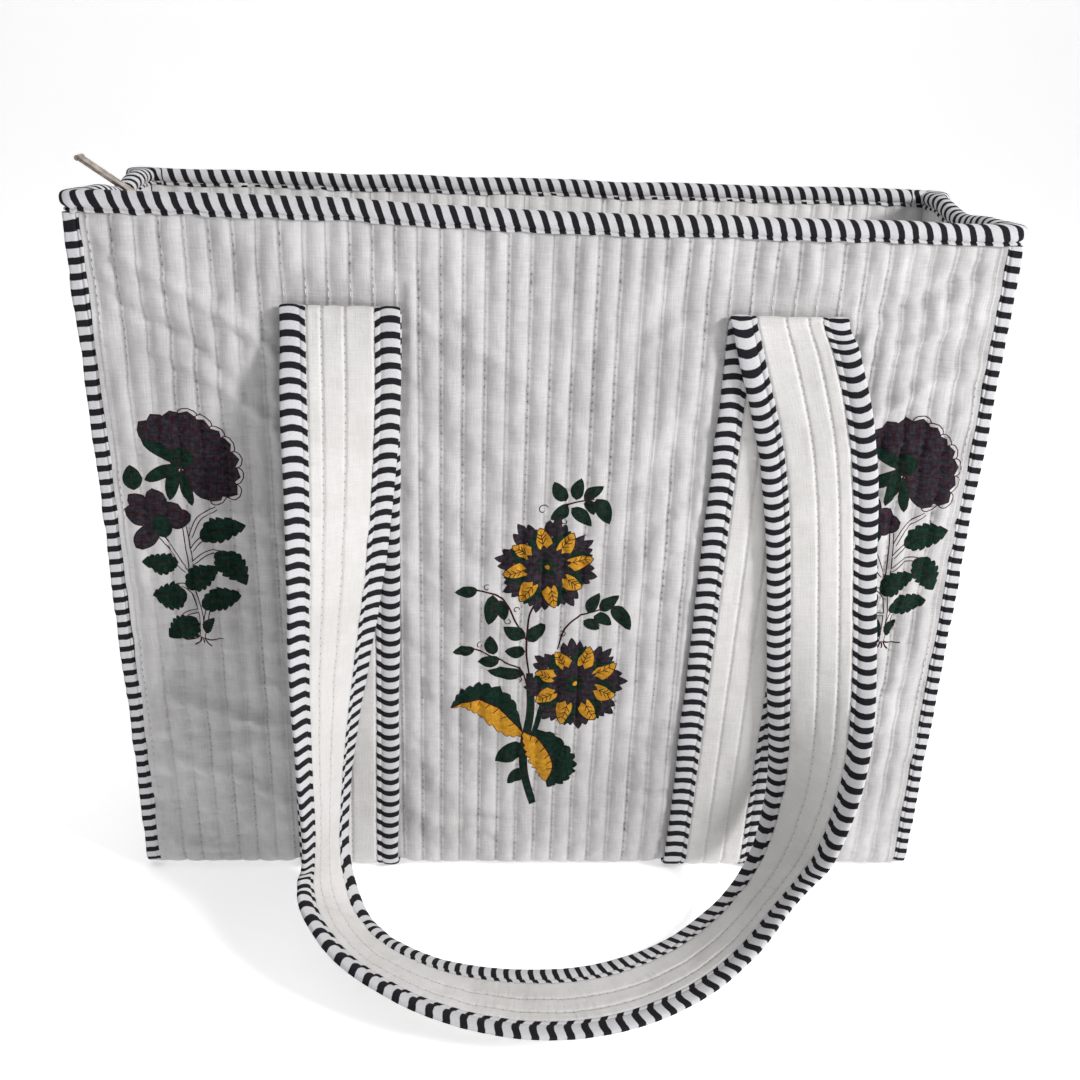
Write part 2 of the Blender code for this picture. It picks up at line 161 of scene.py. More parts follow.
def settled(points):
    """The left side leans outwards towards its top, and the mouth stands higher at the rear and the left."""
    x, y, z = points.T
    lean = LEAN * smoothstep(-0.12, -0.20, x) * np.clip(z / HEIGHT, 0, 1) ** 2
    front_lift = LIFT_LEFT * smoothstep(0.03, -0.13, x)
    rearward = np.clip(0.5 + 0.5 * y / HALF_DEPTH, 0, 1)
    above_zip = smoothstep(ZIP_Z + 0.002, WALL_TOP - 0.005, z)
    lift = (front_lift + (LIFT_REAR - front_lift) * rearward) * above_zip
    on_bag = np.abs(x) < 0.3      # the floor stays where it is
    return points + np.stack([-lean, 0 * lean, lift], -1) * on_bag[:, None]


def make_piece(name, points, faces, materials, maps=None, face_materials=None):
    """One mesh object. maps holds a (u, v) per point for each UV map by name."""
    mesh = bpy.data.meshes.new(name)
    faces = faces.tolist() if isinstance(faces, np.ndarray) else faces
    mesh.from_pydata(settled(np.asarray(points, float).reshape(-1, 3)).tolist(), [], faces)
    corner = np.zeros(len(mesh.loops), np.int32)
    mesh.loops.foreach_get("vertex_index", corner)
    for key, values in (maps or {}).items():
        layer = mesh.uv_layers.new(name=key)
        values = np.asarray(values, np.float32).reshape(-1, 2)
        layer.data.foreach_set("uv", values[corner].ravel())
    for material in materials:
        mesh.materials.append(material)
    if face_materials is not None:
        mesh.polygons.foreach_set("material_index", np.asarray(face_materials, np.int32))
    mesh.polygons.foreach_set("use_smooth", np.ones(len(mesh.polygons), bool))
    mesh.update()
    piece = bpy.data.objects.new(name, mesh)
    bpy.context.scene.collection.objects.link(piece)
    return piece


def run_lengths(points):
    """Distance along a row of points, from the first one."""
    steps = np.linalg.norm(np.diff(points, axis=0), axis=1)
    return np.concatenate([[0.0], np.cumsum(steps)])


# ---- Materials
class Shader:
    """A material's node tree with short calls for the nodes used here."""

    def __init__(self, name, roughness, metallic=0.0, sheen=0.0, specular=0.3):
        self.material = bpy.data.materials.new(name)
        self.material.use_nodes = True
        self.tree = self.material.node_tree
        self.surface = self.tree.nodes["Principled BSDF"]
        self.surface.inputs["Roughness"].default_value = roughness
        self.surface.inputs["Metallic"].default_value = metallic
        self.surface.inputs["Specular IOR Level"].default_value = specular
        self.surface.inputs["Sheen Weight"].default_value = sheen
        self.surface.inputs["Sheen Roughness"].default_value = 0.5

    def put(self, socket, value):
        if isinstance(value, bpy.types.NodeSocket):
            self.tree.links.new(value, socket)
        else:
            socket.default_value = value

    def math(self, operation, *values):
        node = self.tree.nodes.new("ShaderNodeMath")
        node.operation = operation
        for socket, value in zip(node.inputs, values):
            self.put(socket, value)
        return node.outputs[0]

    def uv(self, key):
        node = self.tree.nodes.new("ShaderNodeUVMap")
        node.uv_map = key
        return node.outputs[0]

    def split(self, vector):
        node = self.tree.nodes.new("ShaderNodeSeparateXYZ")
        self.put(node.inputs[0], vector)
        return node.outputs[0], node.outputs[1]

    def scaled(self, vector, x, y, z=1.0):
        node = self.tree.nodes.new("ShaderNodeMapping")
        self.put(node.inputs["Vector"], vector)
        node.inputs["Scale"].default_value = (x, y, z)
        return node.outputs[0]

    def noise(self, vector, scale=1.0, detail=2.0, roughness=0.5):
        node = self.tree.nodes.new("ShaderNodeTexNoise")
        self.put(node.inputs["Vector"], vector)
        node.inputs["Scale"].default_value = scale
        node.inputs["Detail"].default_value = detail
        node.inputs["Roughness"].default_value = roughness
        return node.outputs["Fac"]

    def between(self, value, low, high, to_low=0.0, to_high=1.0):
        node = self.tree.nodes.new("ShaderNodeMapRange")
        node.interpolation_type = "SMOOTHSTEP"
        for socket, item in zip(node.inputs, (value, low, high, to_low, to_high)):
            self.put(socket, item)
        return node.outputs[0]

    def mix(self, share, first, second):
        node = self.tree.nodes.new("ShaderNodeMix")
        node.data_type = "RGBA"
        self.put(node.inputs["Factor"], share)
        for socket, colour in ((node.inputs[6], first), (node.inputs[7], second)):
            self.put(socket, (*colour, 1.0) if isinstance(colour, tuple) else colour)
        return node.outputs[2]

    def bump(self, height, distance, strength=1.0):
        node = self.tree.nodes.new("ShaderNodeBump")
        node.inputs["Distance"].default_value = distance
        node.inputs["Strength"].default_value = strength
        self.put(node.inputs["Height"], height)
        self.put(self.surface.inputs["Normal"], node.outputs[0])

    def colour(self, value):
        self.put(self.surface.inputs["Base Color"], value)

    def weave(self, cloth, pitch=0.0005):
        """Height of a plain weave with uneven yarns, from map coordinates in metres."""
        u, v = self.split(cloth)
        turn = 2 * math.pi / pitch
        over = self.math("MULTIPLY", self.math("SINE", self.math("MULTIPLY", u, turn)),
                         self.math("SINE", self.math("MULTIPLY", v, turn)))
        warp = self.noise(self.scaled(cloth, 1400, 110), detail=2.0)
        weft = self.noise(self.scaled(cloth, 110, 1400), detail=2.0)
        slubs = self.math("ADD", warp, weft)
        return self.math("ADD", self.math("MULTIPLY", over, 0.25), slubs), slubs


# Colours of painted shade: in the needle holes, and along the groove of each quilting line.
PAINTED_HOLE_SHADE = (0.10, 0.10, 0.11)
PAINTED_GROOVE_SHADE = (0.30, 0.29, 0.29)
WEAVE_HEIGHT = 0.00016


def cotton(name, light, shade, sewn=False):
    """Plain-woven cotton that varies a little between its two shades."""
    shader = Shader(name, roughness=0.92, specular=0.15)
    cloth = shader.uv("cloth")
    height, slubs = shader.weave(cloth)
    patches = shader.noise(cloth, scale=22.0, detail=4.0, roughness=0.6)
    share = shader.between(shader.math("ADD", patches, shader.math("MULTIPLY", slubs, 0.35)), 0.62, 1.05)
    colour = shader.mix(share, shade, light)
    if sewn:
        colour, height = sewing(shader, cloth, colour, height)
    shader.colour(colour)
    shader.bump(height, WEAVE_HEIGHT)
    return shader.material


def sewing(shader, cloth, colour, height):
    """Needle holes as dots of painted shade, a groove with bump and painted shade, and puckers along the
    stitched lines.

    The stitch map holds millimetres from the nearest line, and the count of stitches along it.
    """
    away, count = shader.split(shader.uv("stitch"))
    place = shader.math("ABSOLUTE", shader.math("SUBTRACT", shader.math("FRACT", count), 0.5))
    near_line = shader.between(away, 0.15, 0.45, 1.0, 0.0)
    near_hole = shader.between(place, 0.05, 0.14, 1.0, 0.0)
    hole_shade = shader.math("MULTIPLY", near_line, near_hole)
    # Painted shade: each needle hole is darkened as if it lay in shadow.
    colour = shader.mix(shader.math("MULTIPLY", hole_shade, 0.75), colour, PAINTED_HOLE_SHADE)
    # Painted shade along the groove beside each quilting line; the bump below gives the groove its relief.
    groove = shader.math("MULTIPLY", shader.between(away, 0.2, 0.9, 1.0, 0.0), 0.16)
    colour = shader.mix(groove, colour, PAINTED_GROOVE_SHADE)
    height = shader.math("ADD", height, shader.math("MULTIPLY", shader.between(away, 0.0, 1.4), 2.6))
    puckers = shader.noise(shader.scaled(cloth, 75, 260), detail=2.5)
    near = shader.between(away, 0.4, 4.8, 6.5, 2.0)
    return colour, shader.math("ADD", height, shader.math("MULTIPLY", puckers, near))


def striped(name):
    """Black and white bias binding. The map's u counts stripes, and v is metres across the tape."""
    shader = Shader(name, roughness=0.9, specular=0.15)
    cloth = shader.uv("cloth")
    stripe, _ = shader.split(cloth)
    wander = shader.noise(shader.scaled(cloth, 1.7, 260), detail=3.0)
    edge = shader.noise(shader.scaled(cloth, 60, 2500), detail=1.0)
    shifted = shader.math("ADD", stripe, shader.math("MULTIPLY", shader.math("SUBTRACT", wander, 0.5), 0.10))
    shifted = shader.math("ADD", shifted, shader.math("MULTIPLY", shader.math("SUBTRACT", edge, 0.5), 0.05))
    place = shader.math("ABSOLUTE", shader.math("SUBTRACT", shader.math("FRACT", shifted), 0.5))
    black = shader.between(place, 0.208, 0.242, 1.0, 0.0)
    yarns = shader.noise(shader.scaled(cloth, 14, 1500), detail=2.0)
    dark = shader.mix(yarns, (0.003, 0.003, 0.004), (0.022, 0.021, 0.027))
    pale = shader.mix(yarns, (0.44, 0.44, 0.455), (0.72, 0.72, 0.73))
    shader.colour(shader.mix(black, pale, dark))
    shader.bump(yarns, 0.00018)
    return shader.material


def ink(name, dark, light):
    """Block-print ink on cotton, patchy where the block pressed unevenly."""
    shader = Shader(name, roughness=0.95, specular=0.12)
    cloth = shader.uv("cloth")
    height, slubs = shader.weave(cloth)
    patches = shader.noise(cloth, scale=420.0, detail=5.0, roughness=0.7)
    share = shader.between(shader.math("ADD", patches, shader.math("MULTIPLY", slubs, 0.3)), 0.62, 1.08)
    shader.colour(shader.mix(share, dark, light))
    shader.bump(height, WEAVE_HEIGHT)
    return shader.material


def metal(name, bright, dull, roughness):
    """Cast and tumbled zip metal with fine scratches and dull patches."""
    shader = Shader(name, roughness=roughness, metallic=1.0, specular=0.5)
    node = shader.tree.nodes.new("ShaderNodeTexCoord")
    place = node.outputs["Object"]
    scratches = shader.noise(shader.scaled(place, 900, 9000, 900), detail=3.0)
    patches = shader.noise(place, scale=260.0, detail=4.0)
    shader.colour(shader.mix(shader.between(patches, 0.35, 0.65), dull, bright))
    shader.put(shader.surface.inputs["Roughness"],
               shader.between(scratches, 0.3, 0.7, roughness - 0.06, roughness + 0.14))
    shader.bump(scratches, 0.00004)
    return shader.material


def plain(name, colour, roughness):
    """Sewing thread and nylon: a fine twist in colour and height."""
    shader = Shader(name, roughness=roughness, sheen=0.1)
    node = shader.tree.nodes.new("ShaderNodeTexCoord")
    twist = shader.noise(node.outputs["Object"], scale=2600.0, detail=2.0)
    darker = tuple(0.82 * part for part in colour)
    shader.colour(shader.mix(twist, darker, colour))
    shader.bump(twist, 0.00005)
    return shader.material


CLOTH = cotton("quilted_cotton", (0.605, 0.597, 0.599), (0.485, 0.476, 0.478), sewn=True)
LINING = cotton("lining_cotton", (0.74, 0.735, 0.73), (0.64, 0.635, 0.63), sewn=True)
STRAP_CLOTH = cotton("strap_cotton", (0.72, 0.71, 0.70), (0.63, 0.62, 0.60), sewn=True)
TAPE = cotton("zip_tape", (0.84, 0.84, 0.83), (0.76, 0.76, 0.75))
STRIPES = striped("striped_binding")
THREAD = plain("sewing_thread", (0.80, 0.80, 0.81), 0.6)
TEETH = plain("nylon_teeth", (0.82, 0.82, 0.80), 0.35)
METAL = metal("zip_metal", (0.50, 0.44, 0.38), (0.24, 0.19, 0.15), 0.30)
INKS = {
    "charcoal": ink("ink_charcoal", (0.011, 0.010, 0.014), (0.046, 0.041, 0.053)),
    "mustard": ink("ink_mustard", (0.42, 0.19, 0.014), (0.68, 0.36, 0.035)),
    "green": ink("ink_green", (0.002, 0.012, 0.008), (0.012, 0.040, 0.026)),
    "maroon": ink("ink_maroon", (0.020, 0.005, 0.007), (0.075, 0.014, 0.022)),
}
INK_NAMES = list(INKS)


# ---- Stitches
def stitches(name, starts, ends, outward, radius=0.00022):
    """Short raised lengths of thread, each a spindle from one needle hole to the next."""
    starts, ends, outward = (np.asarray(item, float).reshape(-1, 3) for item in (starts, ends, outward))
    along = ends - starts
    aside = np.cross(along, outward)
    aside /= np.linalg.norm(aside, axis=1, keepdims=True)
    near, far = starts + along * 0.25, starts + along * 0.75
    rings = [starts - outward * radius]
    for middle in (near, far):
        rings += [middle + aside * radius, middle + outward * radius, middle - aside * radius,
                  middle - outward * radius]
    rings.append(ends - outward * radius)
    points = np.stack(rings, 1)
    sides = [(1, 2), (2, 3), (3, 4), (4, 1)]
    shape = [(0, b, a) for a, b in sides]
    shape += [(a, b, b + 4, a + 4) for a, b in sides]
    shape += [(9, a + 4, b + 4) for a, b in sides]
    faces = [tuple(corner + 10 * index for corner in face) for index in range(len(starts)) for face in shape]
    return make_piece(name, points, faces, [THREAD])


# ---- Quilted cloth
def line_phase(line):
    """Where the stitches of a quilting line start, as a share of a stitch."""
    mixed = np.sin(line * 91.7) * 4375.85
    return mixed - np.floor(mixed)


def line_wander(v, line, seed):
    """How far a hand-guided quilting line strays sideways."""
    return 0.00045 * value_noise(v / 0.045, line, seed + 3)


def quilt(u, v, seed, puff=PUFF):
    """Height of quilted cloth with lines along v, and its stitch map.

    The height is 0 half-way between the bottom of a line and the top of a channel.
    """
    place = (u + line_wander(v, np.round(u / CHANNEL), seed)) / CHANNEL
    line = np.round(place)
    away = np.abs(place - line) * CHANNEL
    share = np.sin(math.pi * np.clip(away / CHANNEL, 0, 0.5)) ** 0.48
    count = v / STITCH + line_phase(line)
    beat = np.cos(2 * math.pi * (count - 0.5))
    soft = 1 + 0.25 * value_noise(u / 0.009, v / 0.012, seed)
    soft += 0.18 * value_noise(u / 0.004, v / 0.0055, seed + 1)
    height = puff * (share * soft - 0.5)
    # Each needle hole draws the cloth in, and short puckers run out from the line.
    height -= 0.00042 * beat * np.exp(-(away / 0.0021) ** 2)
    pull = value_noise(u / 0.0065, v / 0.0032, seed + 2)
    height += 0.00024 * pull * np.exp(-((away - 0.0022) / 0.0016) ** 2)
    pucker = np.clip(value_noise(u / 0.013, v / 0.0042, seed + 5), -0.6, 1.0)
    height += puff * 0.24 * pucker
    return height, np.stack([away / MM, count], -1)


def strap_middle(top_x, base_x, z):
    """x of a stitched strap's middle line at a height."""
    return base_x + (top_x - base_x) * np.clip((z - BASE_RADIUS) / (FOLD_Z - BASE_RADIUS), 0, 1)


def strap_press(x, z, front, above=0.0):
    """1 where a stitched strap holds the cloth down, and that far above it; 0 away from it."""
    pressed = np.zeros_like(x)
    left, right = STRAP_FRONT_X if front else (-STRAP_FRONT_X[1], -STRAP_FRONT_X[0])
    for top_x, base_x in ((left, -STRAP_BASE_X), (right, STRAP_BASE_X)):
        across = smoothstep(STRAP_HALF + 0.005, STRAP_HALF, np.abs(x - strap_middle(top_x, base_x, z)))
        below_top = smoothstep(FOLD_Z + 0.006 + above, FOLD_Z + 0.001 + 0.5 * above, z)
        pressed = np.maximum(pressed, across * below_top)
    return pressed


# Distances down a panel from its top edge: to the bend, round the bend, and to the middle of the base
WALL_RUN = WALL_TOP - BASE_RADIUS
ARC_RUN = BASE_RADIUS * math.pi / 2
HALF_RUN = WALL_RUN + ARC_RUN + HALF_DEPTH - BASE_RADIUS


def wrap(run):
    """(y, z), outward (ny, nz) and share of turn to the base, by the distance down the front panel."""
    down = np.clip(run, 0, WALL_RUN)
    turn = np.clip((run - WALL_RUN) / BASE_RADIUS, 0, math.pi / 2)
    under = np.clip(run - WALL_RUN - ARC_RUN, 0, None)
    ny, nz = -np.cos(turn), -np.sin(turn)
    y = -(HALF_DEPTH - BASE_RADIUS) + BASE_RADIUS * ny + under
    z = WALL_TOP - down + BASE_RADIUS * (1 + nz) - BASE_RADIUS
    return y, z, ny, nz, turn / (math.pi / 2)


def base_lift(x):
    """The base rides up over each strap."""
    reach = STRAP_HALF + 2 * GAP
    away = np.minimum(np.abs(x - STRAP_BASE_X), np.abs(x + STRAP_BASE_X))
    return LIFT * np.clip((reach + LIFT_RUN - away) / LIFT_RUN, 0, 1)


def outer_level(x, z, height, turned, facing):
    """The quilting's height with its creases, held flat by straps, side seams, rim and floor."""
    pressed = strap_press(x, z, facing < 0, above=HANDLE_ROOM)
    level = height * (1 - pressed) + HELD_LEVEL * pressed
    level = level * (1 - turned) + np.minimum(level, -0.0001) * turned
    edge = smoothstep(SHELL_HALF - 0.010, SHELL_HALF, np.abs(x))
    level = level * (1 - edge)
    level += drag_lines(x, z, facing) * (1 - pressed) * (1 - turned)
    under_rim = smoothstep(WALL_TOP - 0.0095, WALL_TOP - 0.0040, z)
    return level * (1 - under_rim) + HELD_LEVEL * under_rim


def panel_surface(x, run, facing, depth=0.0, puff=PUFF, seed=0.0):
    """Points, outward directions and stitch map of the wrapped cloth.

    facing is -1 at the front and 1 at the rear. depth 0 is the outer cloth, and more is the lining.
    """
    y, z, ny, nz, turned = wrap(run)
    height, stitch = quilt(x, run, seed, puff)
    level = -depth - height if depth > 0 else outer_level(x, z, height, turned, facing)
    level = level - base_lift(x) * turned
    points = np.stack([x, (y + ny * level) * -facing, z + nz * level], -1)
    outward = np.stack([np.zeros_like(x), ny * -facing, nz], -1)
    return points, outward, stitch


def slack_cloth(columns=104, rows=88, moments=24):
    """How far a slack sheet stands out once it has settled, held along its seams and straps."""
    across, up = np.linspace(-SHELL_HALF, SHELL_HALF, columns), np.linspace(BASE_RADIUS, WALL_TOP, rows)
    x, z = np.meshgrid(across, up)
    uneven = 0.0012 * value_noise(x / 0.030, z / 0.009, 41.0)
    sheet = make_piece("slack_sheet", np.stack([x, uneven, z], -1), grid_faces(rows, columns), [])
    held = strap_press(x, z, True) > 0.3
    held[0] = held[-1] = held[:, 0] = held[:, -1] = True
    sheet.vertex_groups.new(name="held").add(np.flatnonzero(held).tolist(), 1.0, "ADD")
    cloth = sheet.modifiers.new("cloth", "CLOTH")
    cloth.settings.vertex_group_mass = "held"
    cloth.settings.quality = 6
    cloth.settings.mass = 0.15
    cloth.settings.tension_stiffness = cloth.settings.compression_stiffness = 20
    cloth.settings.shear_stiffness = 7
    cloth.settings.bending_stiffness = 0.5
    cloth.settings.shrink_min = -0.009
    cloth.point_cache.frame_end = moments
    bpy.context.scene.gravity = (0, 0, -1.5)
    for moment in range(1, moments + 1):
        bpy.context.scene.frame_set(moment)
    hung = sheet.evaluated_get(bpy.context.evaluated_depsgraph_get())
    places = np.zeros(3 * columns * rows, np.float32)
    hung.data.vertices.foreach_get("co", places)
    bpy.data.objects.remove(sheet)
    bpy.context.scene.frame_set(1)
    return places.reshape(rows, columns, 3)[:, :, 1].astype(float)


def sampled(table, x, z):
    """Values of a table that covers one panel, read between its points."""
    rows, columns = table.shape
    column = np.clip((x + SHELL_HALF) / (2 * SHELL_HALF), 0, 0.9999) * (columns - 1)
    row = np.clip((z - BASE_RADIUS) / (WALL_TOP - BASE_RADIUS), 0, 0.9999) * (rows - 1)
    left, low = column.astype(int), row.astype(int)
    across, up = column - left, row - low
    lower = table[low, left] * (1 - across) + table[low, left + 1] * across
    upper = table[low + 1, left] * (1 - across) + table[low + 1, left + 1] * across
    return lower * (1 - up) + upper * up


SLACK = slack_cloth()

DRAGS = [
    # start x, z, end x, z, width, height: soft creases pulled across the panel
    (-0.195, 0.345, -0.120, 0.290, 0.0040, 0.0013),
    (-0.198, 0.325, -0.150, 0.285, 0.0045, -0.0011),
    (-0.185, 0.300, -0.128, 0.262, 0.0040, 0.0011),
    (-0.125, 0.322, -0.075, 0.332, 0.0035, 0.0010),
    (-0.066, 0.318, -0.020, 0.290, 0.0045, 0.0010),
    (0.080, 0.322, 0.030, 0.300, 0.0045, 0.0009),
    (0.140, 0.318, 0.198, 0.340, 0.0045, -0.0012),
    (0.143, 0.300, 0.200, 0.318, 0.0045, 0.0013),
    (0.150, 0.270, 0.200, 0.296, 0.0045, 0.0011),
    (0.155, 0.245, 0.198, 0.262, 0.0040, -0.0009),
    (-0.200, 0.120, -0.140, 0.090, 0.0055, 0.0010),
    (-0.195, 0.080, -0.135, 0.045, 0.0050, 0.0011),
    (0.200, 0.110, 0.150, 0.070, 0.0055, 0.0009),
    (-0.060, 0.040, -0.010, 0.020, 0.0050, 0.0008),
    (0.060, 0.035, 0.015, 0.018, 0.0050, -0.0008),
]


SLACK_SHARE = 0.95        # of the settled sheet's height
SLACK_LIMIT = 0.0021      # and the most that it may add
DRAG_GAIN = 1.7           # heights and widths of the creases in use, as shares of the table's
DRAG_WIDTH = 0.75


def drag_lines(x, z, facing):
    """Creases that tension leaves across the quilting, and a slow swell of the whole panel."""
    level = 0.0007 * value_noise(x / 0.060, z / 0.075, 11 + facing)
    level += 0.00045 * value_noise(x / 0.024, z / 0.033, 17 + facing)
    slack = -sampled(SLACK, -facing * x, z) * SLACK_SHARE
    level += SLACK_LIMIT * np.tanh(slack / SLACK_LIMIT)
    for x0, z0, x1, z1, width, height in DRAGS:
        length = math.hypot(x1 - x0, z1 - z0)
        ux, uz = (x1 - x0) / length, (z1 - z0) / length
        along = (x - x0) * ux + (z - z0) * uz
        aside = (z - z0) * ux - (x - x0) * uz + 0.0022 * np.sin(along / length * 5 + x0 * 90)
        crease = DRAG_GAIN * height * np.exp(-(aside / (DRAG_WIDTH * width)) ** 2)
        level += crease * smoothstep(-0.25, 0.25, along / length) * smoothstep(1.25, 0.75, along / length)
    return level


PANEL_COLUMNS = np.linspace(-SHELL_HALF, SHELL_HALF, 285)
PANEL_RUNS = np.linspace(0.0, HALF_RUN, 248)


def panel(name, facing, prints):
    """The outer cloth of one panel and half the base, with printed areas cut in along their outlines."""
    runs, columns = np.meshgrid(PANEL_RUNS, PANEL_COLUMNS, indexing="ij")
    flat = np.stack([columns.ravel(), runs.ravel()], -1)
    faces = grid_faces(len(PANEL_RUNS), len(PANEL_COLUMNS))
    ink_of = np.zeros(len(faces), int)
    patches = [printed_patch(shapes) for shapes in prints]
    for patch in patches:
        (low_c, high_c), (low_r, high_r) = patch["columns"], patch["rows"]
        row, column = np.divmod(faces[:, 0], len(PANEL_COLUMNS))
        inside = (row >= low_r) & (row < high_r) & (column >= low_c) & (column < high_c)
        faces, ink_of = faces[~inside], ink_of[~inside]
    all_faces, all_inks, all_flat = faces.tolist(), list(ink_of), [flat]
    for patch in patches:
        start = sum(len(part) for part in all_flat)
        all_faces += [[corner + start for corner in face] for face in patch["faces"]]
        all_inks += patch["inks"]
        all_flat.append(patch["flat"])
    flat = np.concatenate(all_flat)
    points, _, stitch = panel_surface(flat[:, 0], flat[:, 1], facing)
    if facing > 0:
        all_faces = [face[::-1] for face in all_faces]
    piece = make_piece(name, points, all_faces, [CLOTH] + [INKS[key] for key in INK_NAMES],
                       {"cloth": flat, "stitch": stitch}, all_inks)
    weld(piece)
    return piece


def weld(piece):
    """Join points that lie on each other, as at the edges of the printed areas."""
    shape = bmesh.new()
    shape.from_mesh(piece.data)
    bmesh.ops.remove_doubles(shape, verts=shape.verts, dist=0.00001)
    loose = [vertex for vertex in shape.verts if not vertex.link_faces]
    bmesh.ops.delete(shape, geom=loose, context="VERTS")
    shape.to_mesh(piece.data)
    shape.free()


def printed_patch(shapes):
    """Triangles of one printed area: its shapes' outlines are edges, and each triangle knows its ink."""
    corners = np.concatenate([outline for outline, _ in shapes])
    runs = WALL_TOP - corners[:, 1]
    low_c, high_c = np.searchsorted(PANEL_COLUMNS, [corners[:, 0].min(), corners[:, 0].max()]) + [-2, 1]
    low_r, high_r = np.searchsorted(PANEL_RUNS, [runs.min(), runs.max()]) + [-2, 1]
    low_c, high_c = max(low_c, 1), min(high_c, len(PANEL_COLUMNS) - 2)
    inside_x, inside_run = PANEL_COLUMNS[low_c:high_c + 1], PANEL_RUNS[low_r:high_r + 1]
    grid = [Vector((x / MM, run / MM)) for run in inside_run for x in inside_x]
    edges = []
    for outline, _ in shapes:
        start, count = len(grid), len(outline)
        limit = np.clip(outline[:, 0], inside_x[1], inside_x[-2])
        grid += [Vector((x / MM, (WALL_TOP - z) / MM)) for x, z in zip(limit, outline[:, 1])]
        edges += [(start + i, start + (i + 1) % count) for i in range(count)]
    verts, _, faces, *_ = delaunay_2d_cdt(grid, edges, [], 0, 1e-5)
    flat = np.array([tuple(vertex) for vertex in verts]) * MM
    triangles = np.array([tuple(face) for face in faces])
    middle = flat[triangles].mean(1)
    middle[:, 1] = WALL_TOP - middle[:, 1]
    inks = np.zeros(len(triangles), int)
    for outline, key in shapes:
        inks[inside_outline(middle, outline)] = INK_NAMES.index(key) + 1 if key else 0
    a, b, c = (flat[triangles[:, i]] for i in range(3))
    turned = (b[:, 0] - a[:, 0]) * (c[:, 1] - a[:, 1]) - (b[:, 1] - a[:, 1]) * (c[:, 0] - a[:, 0]) < 0
    triangles[turned] = triangles[turned][:, ::-1]
    return {"columns": (low_c, high_c), "rows": (low_r, high_r), "flat": flat,
            "faces": triangles.tolist(), "inks": inks.tolist()}


def inside_outline(points, outline):
    """Which points lie inside a closed outline."""
    found = np.zeros(len(points), bool)
    low, high = outline.min(0), outline.max(0)
    near = np.all((points >= low) & (points <= high), axis=1)
    x, z = points[near, 0], points[near, 1]
    inside = np.zeros(len(x), bool)
    for (x0, z0), (x1, z1) in zip(outline, np.roll(outline, -1, axis=0)):
        if z0 != z1:
            crosses = (z0 > z) != (z1 > z)
            inside ^= crosses & (x < (x1 - x0) * (z - z0) / (z1 - z0) + x0)
    found[near] = inside
    return found


THREAD_LIFT = 0.00012                 # of a stitch over the bottom of its line
STITCH_ENDS = (0.62, 1.38)            # where a stitch starts and ends, in counts of the stitch map


def panel_stitches(name, facing):
    """The running stitches of a panel's quilting lines."""
    starts, ends, outward = [], [], []
    for line in range(-20, 21):
        phase = line_phase(np.array(float(line)))
        count = np.arange(math.ceil(phase + 1), int(WALL_RUN / STITCH + phase) - 1)
        for share, group in zip(STITCH_ENDS, (starts, ends)):
            run = (count + share - phase) * STITCH
            x = np.full_like(run, line * CHANNEL) - line_wander(run, np.full_like(run, line), 0.0)
            points, normals, _ = panel_surface(x, run, facing)
            pressed = strap_press(x, points[:, 2], facing < 0) > 0.5
            group.append((points + normals * THREAD_LIFT)[~pressed])
            if group is starts:
                outward.append(normals[~pressed])
        starts[-1], ends[-1] = starts[-1][:len(ends[-1])], ends[-1][:len(starts[-1])]
        outward[-1] = outward[-1][:len(starts[-1])]
    return stitches(name, np.concatenate(starts), np.concatenate(ends), np.concatenate(outward))


def lining(name, facing):
    """The inside of one panel and half the base."""
    row_count, column_count = 130, 206
    down = np.linspace(0.0, HALF_RUN - WALL, row_count)
    across = np.linspace(-SHELL_HALF + WALL, SHELL_HALF - WALL, column_count)
    runs, columns = np.meshgrid(down, across, indexing="ij")
    flat = np.stack([columns.ravel(), runs.ravel()], -1)
    points, _, stitch = panel_surface(flat[:, 0], flat[:, 1], facing, WALL, LINING_PUFF, 30.0)
    faces = grid_faces(row_count, column_count)
    if facing < 0:
        faces = faces[:, ::-1]
    return make_piece(name, points, faces, [LINING], {"cloth": flat, "stitch": stitch})


def side_dip(y):
    """How far the rim sags over a gusset."""
    reach = 0.036
    return np.where(np.abs(y) < reach, SIDE_DIP * np.cos(math.pi / 2 * np.clip(y / reach, -1, 1)) ** 2, 0.0)


def gusset_swell(y, z, side):
    return 0.0009 * value_noise(y / 0.045, z / 0.06, 60 + side)


GUSSET_SEED = 50.0


def gusset(name, side, depth, material, columns=72, rows=250, puff=PUFF):
    """A side panel; depth 0 is its outer cloth, more is its lining."""
    gap = 0.0002
    half = HALF_DEPTH - WALL - gap
    y, share = np.meshgrid(np.linspace(-half, half, columns), np.linspace(0, 1, rows), indexing="xy")
    radius = BASE_RADIUS - WALL - gap
    past_bend = np.clip(np.abs(y) - (HALF_DEPTH - BASE_RADIUS), 0, radius)
    bottom = BASE_RADIUS - np.sqrt(np.clip(radius ** 2 - past_bend ** 2, 0, None))
    top = WALL_TOP - side_dip(y)
    z = bottom + (top - bottom) * share
    height, stitch = quilt(y, z, GUSSET_SEED + side, puff)
    edge = smoothstep(half - 0.008, half, np.abs(y))
    level = height * (1 - edge) + gusset_swell(y, z, side)
    level = level if depth == 0 else -depth - level
    points = np.stack([side * (SHELL_HALF + level), y, z], -1)
    faces = grid_faces(rows, columns)
    if (side > 0) == (depth > 0):
        faces = faces[:, ::-1]
    return make_piece(name, points, faces, [material],
                      {"cloth": np.stack([y, z], -1), "stitch": stitch})


